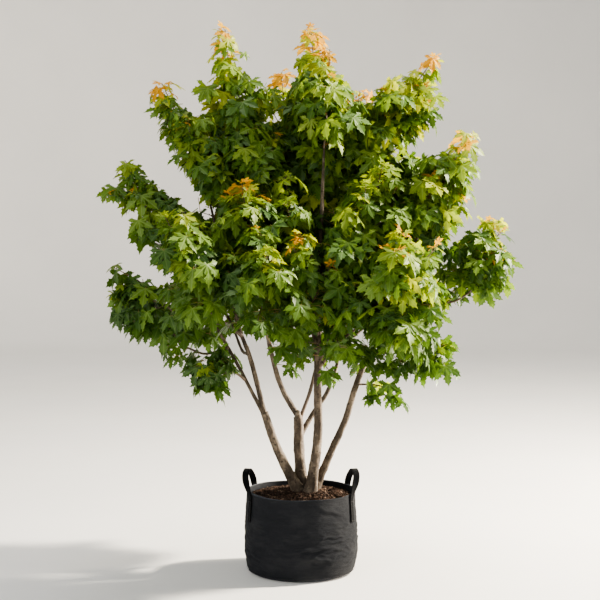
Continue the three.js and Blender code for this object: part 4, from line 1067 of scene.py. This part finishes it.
def left_out(place, tip):
    """True where a leaf would close a gap that shows the sky, hang too low or hide the leader, as
    seen from the picture's side; low_trim says whether the mass now grown is trimmed below"""
    share = -EYE[1] / (place[1] - EYE[1])
    seen_x = EYE[0] + (place[0] - EYE[0]) * share
    seen_z = EYE[2] + (place[2] - EYE[2]) * share
    low_z = EYE[2] + (tip[2] - EYE[2]) * share
    if low_trim and low_z < np.interp(seen_x, *zip(*UNDERSIDE)) - TIP_BELOW:
        return True
    if seen_z > np.interp(seen_x, *zip(*CROWN_TOP)):
        return True
    for gaps in SKY_GAPS.values():
        for x, z, radius in gaps:
            if (seen_x - x) ** 2 + (seen_z - z) ** 2 < radius * radius:
                return True
    if not LEADER_FROM < place[2] < LEADER_TO:
        return False
    leader = curve_at(limbs["stem_centre"][0], (place[2] - STEM_FOOT) / (LEADER_TO - STEM_FOOT))[0]
    return place[1] < leader[1] and abs(place[0] - leader[0]) < LEADER_CLEAR


def add_leaf(chance, root, outward, size, sag, kind, lift=0.30):
    """One leaf on its stalk: the stalk leaves the twig outward and the blade hangs from its end"""
    flat = outward * (1, 1, 0)
    if np.linalg.norm(flat) < 0.05:
        flat = np.array((math.cos(root[2] * 900), math.sin(root[2] * 900), 0))
    flat = turned(unit(flat), UP, chance.uniform(-0.75, 0.75))
    size = size * chance.uniform(0.68, 1.20)
    droop = math.radians(sag + chance.uniform(-26, 26))
    stalk_way = unit(flat + UP * (lift + chance.uniform(-0.35, 0.25)))
    base = root + stalk_way * (size * STALK * chance.uniform(0.75, 1.15))
    along = flat * math.cos(droop) - UP * math.sin(droop)
    side = turned(np.cross(UP, flat), along, chance.uniform(-0.6, 0.6))
    middle = root + stalk_way * (size * STALK * 0.55) + UP * (size * 0.05)
    luck = chance.uniform(size=4)
    if not left_out(base + along * (size * 0.4), base + along * size):
        green.append((root, middle, base, *STALK_RADII))
        leaves.append((base, along, side, size, kind, luck))


def kind_at(chance, place, share, young):
    """Leaf colour by where its spray hangs: bronze, lime and bright at the young tips, and otherwise a
    green step of painted light and shade, lighter to the right, up high, at the front and towards a shoot's
    tip, darker to the left, low down and on inner twigs; bronze_here says whether the tips of the mass now
    grown turn bronze"""
    if bronze_here and young > (0.91 if place[2] > SUNNY_ABOVE else 0.96):
        return "bronze" if chance.uniform() < 0.7 else "lime"
    if young > 0.84 and chance.uniform() < 0.5:
        return "bronze" if bronze_here and chance.uniform() < 0.12 else "bright"
    # Painted light and shade: lit is the lightness of the green chosen, raised to the right, up high,
    # towards a shoot's tip and at the front, and lowered to the left, on the inner twigs and low down.
    aside = place[0] * (0.17 if place[0] < 0 else 0.05)
    lit = 0.39 + aside + 0.24 * (place[2] - 1.5) / 0.9 + 0.30 * max(0, share - 0.5)
    lit += 0.34 * max(0, -0.12 - place[1])
    if share < 0:
        lit -= 0.12
    lit -= 0.35 * max(0, 1.32 - place[2])
    lit += chance.normal(0, 0.15)
    steps = (("deep", 0.24), ("shade", 0.36), ("mid", 0.48), ("half_lit", 0.60), ("bright", 0.74))
    return next((kind for kind, most in steps if lit < most), "lime")


def hold_at(height):
    """How a twig holds itself: 1 up in the crown, below 0 where it hangs from the lowest boughs"""
    return float(np.interp(height, (HANG_BELOW, RISE_ABOVE), (-1, 1)))


def cut_back(root, way, reach):
    """A twig's reach, shorter where its end would stand bare in a gap"""
    while reach > SHORT_TWIG and left_out(root + way * reach, root + way * reach):
        reach *= 0.8
    return reach


def add_twig(chance, root, way, reach, radius, share, size, sag, level):
    """A twig with opposite pairs of leaves, and finer twigs of its own where it is long"""
    held = hold_at(root[2])
    reach = cut_back(root, way, reach)
    end = root + way * reach + UP * (reach * 0.10 * held)
    middle = root + way * (reach * 0.5) + UP * (reach * chance.uniform(-0.03, 0.02))
    (woody if level == 0 else green).append((root, middle, end, radius, radius * 0.55))
    line = np.array((root, middle, end))
    pairs = max(1, round(reach / TWIG_PAIR_SPACING))
    aside = unit(np.cross(way, UP))
    spray = kind_at(chance, end, share, 0)
    for k in range(pairs):
        along = (k + 0.75) / pairs
        node = curve_at(line, min(1, along))[0]
        for hand in (-1, 1):
            tilt = chance.uniform(-0.5, 0.5) + (k % 2) * 1.1 * hand
            outward = turned(aside * hand, way, tilt) + way * 0.45
            if level == 0 and reach > 0.15 and k < pairs - 1 and chance.uniform() < 0.55:
                finer = reach * SIDE_TWIG_REACH * (1 - 0.4 * along)
                onward = unit(outward + UP * 0.15)
                add_twig(chance, node, onward, finer, radius * 0.6, share, size * 0.92, sag, 1)
            else:
                kind = spray if chance.uniform() < 0.7 else kind_at(chance, node, share, 0)
                add_leaf(chance, node, outward, size, sag, kind, lift=0.25 * held)
    if level == 0 and share > 0.45 and chance.uniform() < 0.09:
        add_young_tip(chance, end, way, share * 9, count=4)
    add_leaf(chance, end, way + aside * 0.5, size * 0.95, sag * 0.9, spray, lift=0.2 * held)
    add_leaf(chance, end, way - aside * 0.5, size * 0.85, sag * 0.9, spray, lift=0.2 * held)


def add_young_tip(chance, tip, ahead, facing, count=6):
    """The newest leaves of a shoot: small, mostly bronze, folded upward in a loose star"""
    for k in range(count):
        outward = turned(np.array((1.0, 0, 0)), UP, facing + k * 2.4)
        small = LEAF * BRONZE_LEAF * (1 + 0.09 * k)
        kind = "bright"
        if bronze_here:
            kind = "bronze" if chance.uniform() < 0.9 - 0.1 * k else "lime"
        add_leaf(chance, tip - ahead * (0.008 * k), outward, small, -42 + 13 * k, kind, 1.3 - 0.15 * k)


def add_side_shoot(chance, node, way, reach, facing):
    """An upright side shoot: leaf pairs that grow smaller to its young tip"""
    reach = cut_back(node, way, reach)
    bend = node + way * (reach * 0.5) + (way * (1, 1, 0)) * (reach * 0.06)
    line = np.array((node, bend, node + way * reach))
    woody.append((*line, *SIDE_SHOOT_RADII))
    pairs = round(reach / SPIRE_PAIR_SPACING)
    for pair in range(pairs):
        along = (pair + 0.8) / pairs
        small = LEAF * np.interp(along, (0.3, 1.0), (0.95, 0.50))
        for half in (0, math.pi):
            aside = turned(np.array((1.0, 0, 0)), UP, facing + pair * 1.7 + half)
            kind = kind_at(chance, line[2], 0.7, along * 0.9)
            add_leaf(chance, curve_at(line, along)[0], aside, small, 54 - 34 * along, kind, lift=0.45)
    add_young_tip(chance, line[2], way, facing, count=4)


def grow(name, number):
    """One mass: its shoot, the twigs round it, its spire of leaf pairs and its side shoots"""
    parent, place, by, tip, spread = MASSES[name]
    chance = np.random.default_rng(SEED + number * 97)
    knots = np.array((start_on(parent, place), np.array(by) / 1000, np.array(tip) / 1000))
    spread = spread / 1000
    length = curve_length(knots)
    foot = limbs[parent][1][1] if place == 1 else STEM_SHOOT_FOOT
    limbs[name] = (knots, np.array((foot, SHOOT_TIP)))
    count = max(3, round(length / NODE_SPACING))
    facing = chance.uniform(0, math.pi)
    shoot = curve_at(knots, np.linspace(0, 1, 13))
    for k in range(0, 12, 2):
        thick = [foot + (SHOOT_TIP - foot) * (k + step) / 12 for step in (0, 2)]
        woody.append((shoot[k], shoot[k + 1], shoot[k + 2], *thick))
    for k in range(count):
        share = min(1.0, (k + 0.6) / count)
        node = curve_at(knots, share)[0]
        ahead = heading_at(knots, share)
        across = unit(np.cross(ahead, UP))
        facing += math.pi / 2 + chance.uniform(-0.25, 0.25)
        angle = math.radians(TWIG_ANGLE_LOW + (TWIG_ANGLE_HIGH - TWIG_ANGLE_LOW) * share)
        size = LEAF * (1 + (YOUNG_LEAF - 1) * share**3)
        sag = (64 if low_trim else 78) - 14 * share**2
        rise = np.interp(hold_at(node[2]), (-1, 1), (TWIG_HANG, TWIG_RISE))
        for half in (0, math.pi):
            outward = turned(across, ahead, facing + half)
            way = unit(ahead * math.cos(angle) + outward * math.sin(angle) + UP * rise)
            reach = spread * fullness(share) * chance.uniform(0.72, 1.06) - size * LEAF_OVERHANG
            if reach > SHORT_TWIG:
                add_twig(chance, node, way, reach, TWIG_RADIUS, share, size, sag, 0)
            else:
                add_leaf(chance, node, outward, size, sag, kind_at(chance, node, share, share))
    pairs = round(length * 0.5 / SPIRE_PAIR_SPACING)
    for k in range(pairs):
        share = 1 - 0.5 * (k + 0.6) / pairs
        node = curve_at(knots, share)[0]
        small = LEAF * np.interp(share, (0.5, 0.8, 1.0), (1.0, 0.90, 0.58))
        for half in (0, math.pi):
            outward = turned(np.array((1.0, 0, 0)), UP, facing + 0.3 + k * 1.7 + half)
            sag = 60 - 34 * share**3
            kind = kind_at(chance, node, share, share)
            add_leaf(chance, node, outward, small, sag, kind, lift=0.5)
    add_young_tip(chance, knots[2], heading_at(knots, 1), facing)
    if length > LONG_SHOOT:
        for k, share in enumerate(SIDE_SHOOTS):
            node = curve_at(knots, share)[0]
            ahead = heading_at(knots, share)
            outward = turned(unit(np.cross(ahead, UP)), ahead, facing + 2.1 * k)
            reach = spread * fullness(share) * chance.uniform(0.80, 0.95)
            add_side_shoot(chance, node, unit(ahead + outward * 0.62 + UP * 0.25), reach, facing + k)


def fill_inside(name, number):
    """Short twigs round the lower part of a shoot, inside the crown, whose leaves get painted shade"""
    chance = np.random.default_rng(SEED + 3000 + number)
    knots, spread = limbs[name][0], MASSES[name][4] / 1000
    for _ in range(round(curve_length(knots) / INNER_SPACING)):
        share = chance.uniform(0.06, 0.74)
        ahead = heading_at(knots, share)
        outward = turned(unit(np.cross(ahead, UP)), ahead, chance.uniform(0, 2 * math.pi))
        way = unit(outward + ahead * 0.35 + UP * 0.10)
        reach = spread * chance.uniform(0.22, 0.55)
        node = curve_at(knots, share)[0]
        # A share of -1 gives these leaves a darker green of painted shade.
        add_twig(chance, node, way, reach, FINE_TWIG_RADIUS, -1, LEAF * 0.92, 52, 1)


for number, name in enumerate(MASSES):
    low_trim, bronze_here = name != "foliage_sprig", name not in GREEN_TIPS
    grow(name, number)
    if name != "foliage_sprig":
        fill_inside(name, number)
for number, (limb, place, way, reach) in enumerate(LEANING_SHOOTS):
    low_trim, bronze_here = False, limb not in GREEN_TIPS
    chance = np.random.default_rng(SEED + 7000 + number)
    add_side_shoot(chance, start_on(limb, place), unit(np.array(way)), reach, number)
for number, (limb, place, way, reach, size) in enumerate(SIDE_SPRAYS):
    low_trim, bronze_here = limb != "foliage_sprig", False
    chance = np.random.default_rng(SEED + 5000 + number)
    node, way = start_on(limb, place), unit(np.array(way))
    add_twig(chance, node, way, reach, FINE_TWIG_RADIUS, 0.1, size, 60, 1)


def bent_tubes(runs, sides):
    """Thin round tubes, each bent at its middle, as one set of points and faces"""
    start, middle, end = (np.array([run[k] for run in runs]) for k in range(3))
    thick = np.array([(run[3], (run[3] + run[4]) / 2, run[4]) for run in runs])
    ahead = end - start
    ahead /= np.maximum(np.linalg.norm(ahead, axis=1), 1e-9)[:, None]
    helper = np.where(np.abs(ahead[:, 2:3]) < 0.9, (0.0, 0.0, 1.0), (1.0, 0.0, 0.0))
    across = np.cross(ahead, helper)
    across /= np.linalg.norm(across, axis=1)[:, None]
    second = np.cross(ahead, across)
    angle = 2 * np.pi * np.arange(sides) / sides
    ring = across[:, None] * np.cos(angle)[None, :, None]
    ring = ring + second[:, None] * np.sin(angle)[None, :, None]
    rows = []
    for k, place in enumerate((start, middle, end)):
        rows.append(place[:, None] + ring * thick[:, k][:, None, None])
    points = np.stack(rows, 1).reshape(-1, 3)
    quads = grid_faces(3, sides)
    one = np.concatenate([quads[:, (0, 1, 2)], quads[:, (0, 2, 3)]])
    cap = np.array([(0, k + 1, k) for k in range(1, sides - 1)])
    top = np.array([(0, k, k + 1) for k in range(1, sides - 1)]) + 2 * sides
    one = np.concatenate([one, cap, top])
    faces = one[None] + (np.arange(len(runs)) * 3 * sides)[:, None, None]
    return points, faces.reshape(-1, 3)


twigs = new_mesh("twigs", *bent_tubes(woody, 7), young_bark.material)
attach(twigs, "root")

stalk_look = Nodes("leaf_stalks")
stalk_tone = stalk_look.ramp(stalk_look.noise(22), (0.35, (0.20, 0.24, 0.055)), (0.68, (0.36, 0.17, 0.070)))
stalk_look.set(Base_Color=stalk_tone, Roughness=0.5, Specular_IOR_Level=0.4)
stalks = new_mesh("leaf_stalks", *bent_tubes(green, 4), stalk_look.material)
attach(stalks, "root")


# Leaves
# Five pointed, toothed lobes round the stalk, thin and a little glossy above, folded up along
# each vein and curled down at the tips. Each green kind is a step of painted light and shade; each kind,
# and the young bronze, is one piece.

# Each lobe's turn from the middle one, its length and its width; then, along a lobe, the teeth of
# its edge, the joints of its vein and the notches between lobes
LOBES = ((0, 1.0, 1.0), (50, 0.92, 1.0), (105, 0.62, 1.0))
LOBE_SIDE = ((0.50, 0.132), (0.61, 0.243), (0.67, 0.146), (0.79, 0.162), (0.84, 0.066))
LOBE_VEIN = (0.36, 0.68)
LOBE_FOLD = 0.24
SINUS = ((25.3, 0.44), (78, 0.36))
SINUS_FOLD = 0.07


def ladder(inner, outer, way):
    """Triangles between a lobe's vein and its edge, from the stalk to their shared tip"""
    faces = []
    i = o = 0
    while i < len(inner) - 1 or o < len(outer) - 1:
        vein_next = (i + 1) / len(inner) <= (o + 1) / len(outer)
        if i < len(inner) - 1 and (vein_next or o == len(outer) - 1):
            corners = (inner[i], inner[i + 1], outer[o])
            i += 1
        else:
            corners = (inner[i], outer[o + 1], outer[o])
            o += 1
        if len(set(corners)) == 3:
            faces.append(corners if way == -1 else corners[::-1])
    return faces


def leaf_pattern():
    """Flat places, fold heights and triangles of one leaf, one unit from stalk to middle tip"""
    places, folds, faces = [(0.0, 0.0)], [0.0], []

    def spot(angle, along, aside, fold):
        across, ahead = math.sin(math.radians(angle)), math.cos(math.radians(angle))
        places.append((along * ahead - aside * across, along * across + aside * ahead))
        folds.append(fold)
        return len(places) - 1

    sinus = {}
    for hand in (-1, 1):
        for number, (angle, radius) in enumerate(SINUS):
            sinus[hand, number] = spot(hand * angle, radius, 0, SINUS_FOLD * radius)
    for number, (angle, length, wide) in enumerate(LOBES):
        for hand in (-1, 1) if angle else (1,):
            turn = hand * angle
            vein = [0] + [spot(turn, length * share, 0, 0) for share in LOBE_VEIN]
            tip = spot(turn, length, 0, 0)
            for way in (-1, 1):
                if not angle:
                    edge = [sinus[way, 0]]
                else:
                    gap = number if way == hand else number - 1
                    edge = [sinus.get((hand, gap), 0)]
                for share, w in LOBE_SIDE:
                    edge.append(spot(turn, length * share, way * length * wide * w, LOBE_FOLD * length * w))
                faces += ladder(vein + [tip], edge + [tip], way)
    return np.array(places), np.array(folds), np.array(faces)


leaf_places, leaf_folds, leaf_faces = leaf_pattern()
leaf_reach = np.linalg.norm(leaf_places, axis=1)


def leaf_spray(kind):
    """Points, faces and flat places of all leaves of one kind"""
    chosen = [leaf for leaf in leaves if leaf[4] == kind]
    base = np.array([leaf[0] for leaf in chosen])
    along = np.array([leaf[1] for leaf in chosen])
    side = np.array([leaf[2] for leaf in chosen])
    face = np.cross(along, side)
    size = np.array([leaf[3] for leaf in chosen])[:, None]
    luck = np.array([leaf[5] for leaf in chosen])
    fold = 0.3 + 1.3 * luck[:, 0:1]
    curl = 0.02 + 0.28 * luck[:, 1:2]
    twist = (luck[:, 2:3] - 0.5) * 0.5
    cup = 0.02 + 0.20 * luck[:, 3:4]
    x, y = leaf_places[:, 0][None], leaf_places[:, 1][None]
    height = fold * leaf_folds[None] - curl * leaf_reach[None] ** 2 + twist * x * y - cup * y * y
    stretch = 1 - 0.12 * curl
    points = base[:, None]
    points = points + along[:, None] * (size * stretch * x)[..., None]
    points = points + side[:, None] * (size * stretch * y)[..., None]
    points = points + face[:, None] * (size * height)[..., None]
    faces = leaf_faces[None] + (np.arange(len(chosen)) * len(leaf_places))[:, None, None]
    return points.reshape(-1, 3), faces.reshape(-1, 3), np.tile(leaf_places, (len(chosen), 1))


def leaf_look(name, dark, light, vein, glow, through):
    """A leaf's green: broad changes from spray to spray, pale veins, and light that shines through"""
    look = Nodes(name)
    place = look.add("ShaderNodeUVMap", {"uv_map": "blade"}).outputs[0]
    split = look.add("ShaderNodeSeparateXYZ", Vector=place)
    x = look.math("SUBTRACT", split.outputs[0], 0.25)
    y = look.math("SUBTRACT", split.outputs[1], 0.5)
    y = look.math("ABSOLUTE", y)
    nearest = None
    for angle, _, _ in LOBES:
        turn = math.radians(angle)
        over = look.math("MULTIPLY", x, math.sin(turn))
        off = look.math("SUBTRACT", over, look.math("MULTIPLY", y, math.cos(turn)))
        off = look.math("ABSOLUTE", off)
        nearest = off if nearest is None else look.math("MINIMUM", nearest, off)
    vein_line = look.math("SMOOTH_MIN", nearest, 0.010, 0.006)
    vein_line = look.math("SUBTRACT", 1.0, look.math("MULTIPLY", vein_line, 100))
    vein_line = look.math("MAXIMUM", vein_line, 0.0)
    tone = look.mix(look.noise(9, detail=3), dark, light)
    mottle = look.noise(240, detail=4)
    tone = look.mix(look.math("MULTIPLY", mottle, 0.35), tone, dark)
    tone = look.mix(look.math("MULTIPLY", vein_line, 0.6), tone, vein)
    relief = look.bump(look.math("ADD", look.math("MULTIPLY", mottle, 0.4), vein_line), 0.35, 0.0012)
    look.set(Base_Color=tone, Roughness=0.43, Specular_IOR_Level=0.30, Normal=relief)
    shine = look.add("ShaderNodeBsdfTranslucent", Color=look.mix(0.5, tone, glow))
    both = look.add("ShaderNodeMixShader", Fac=through)
    look.feed(both.inputs[1], look.surface.outputs[0])
    look.feed(both.inputs[2], shine.outputs[0])
    look.feed(look.output.inputs["Surface"], both.outputs[0])
    return look.material


# Each kind's dark and light green, its veins, the light that shines through it and how much. The greens
# from deep to lime are steps of painted light and shade; bright and lime also colour young tips, and bronze
# is the young leaves' own colour
LEAF_LOOKS = {
    "deep": ((0.026, 0.066, 0.013), (0.058, 0.118, 0.025), (0.13, 0.20, 0.06), (0.20, 0.36, 0.02), 0.27),
    "shade": ((0.041, 0.095, 0.016), (0.083, 0.160, 0.032), (0.17, 0.25, 0.07), (0.27, 0.43, 0.02), 0.31),
    "mid": ((0.060, 0.130, 0.019), (0.120, 0.215, 0.039), (0.21, 0.30, 0.09), (0.36, 0.50, 0.02), 0.35),
    "half_lit": ((0.092, 0.175, 0.023), (0.170, 0.270, 0.045), (0.27, 0.36, 0.11), (0.46, 0.58, 0.02), 0.39),
    "bright": ((0.150, 0.240, 0.025), (0.255, 0.355, 0.052), (0.37, 0.44, 0.12), (0.60, 0.69, 0.03), 0.43),
    "lime": ((0.255, 0.330, 0.026), (0.405, 0.455, 0.055), (0.52, 0.57, 0.14), (0.84, 0.84, 0.04), 0.46),
    "bronze": ((0.500, 0.215, 0.016), (0.700, 0.400, 0.040), (0.74, 0.48, 0.12), (0.98, 0.58, 0.05), 0.42),
}
for kind, (dark, light, vein, glow, through) in LEAF_LOOKS.items():
    points, faces, places = leaf_spray(kind)
    look = leaf_look(kind + "_leaf", dark, light, vein, glow, through)
    spray = new_mesh(kind + "_leaves", points, faces, look)
    uv_map(spray, "blade", places * (0.4, 0.4) + (0.25, 0.5))
    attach(spray, "root")
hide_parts(*MASSES)

bpy.context.scene.view_settings.view_transform = "AgX"
bpy.context.scene.view_settings.look = "AgX - Medium High Contrast"
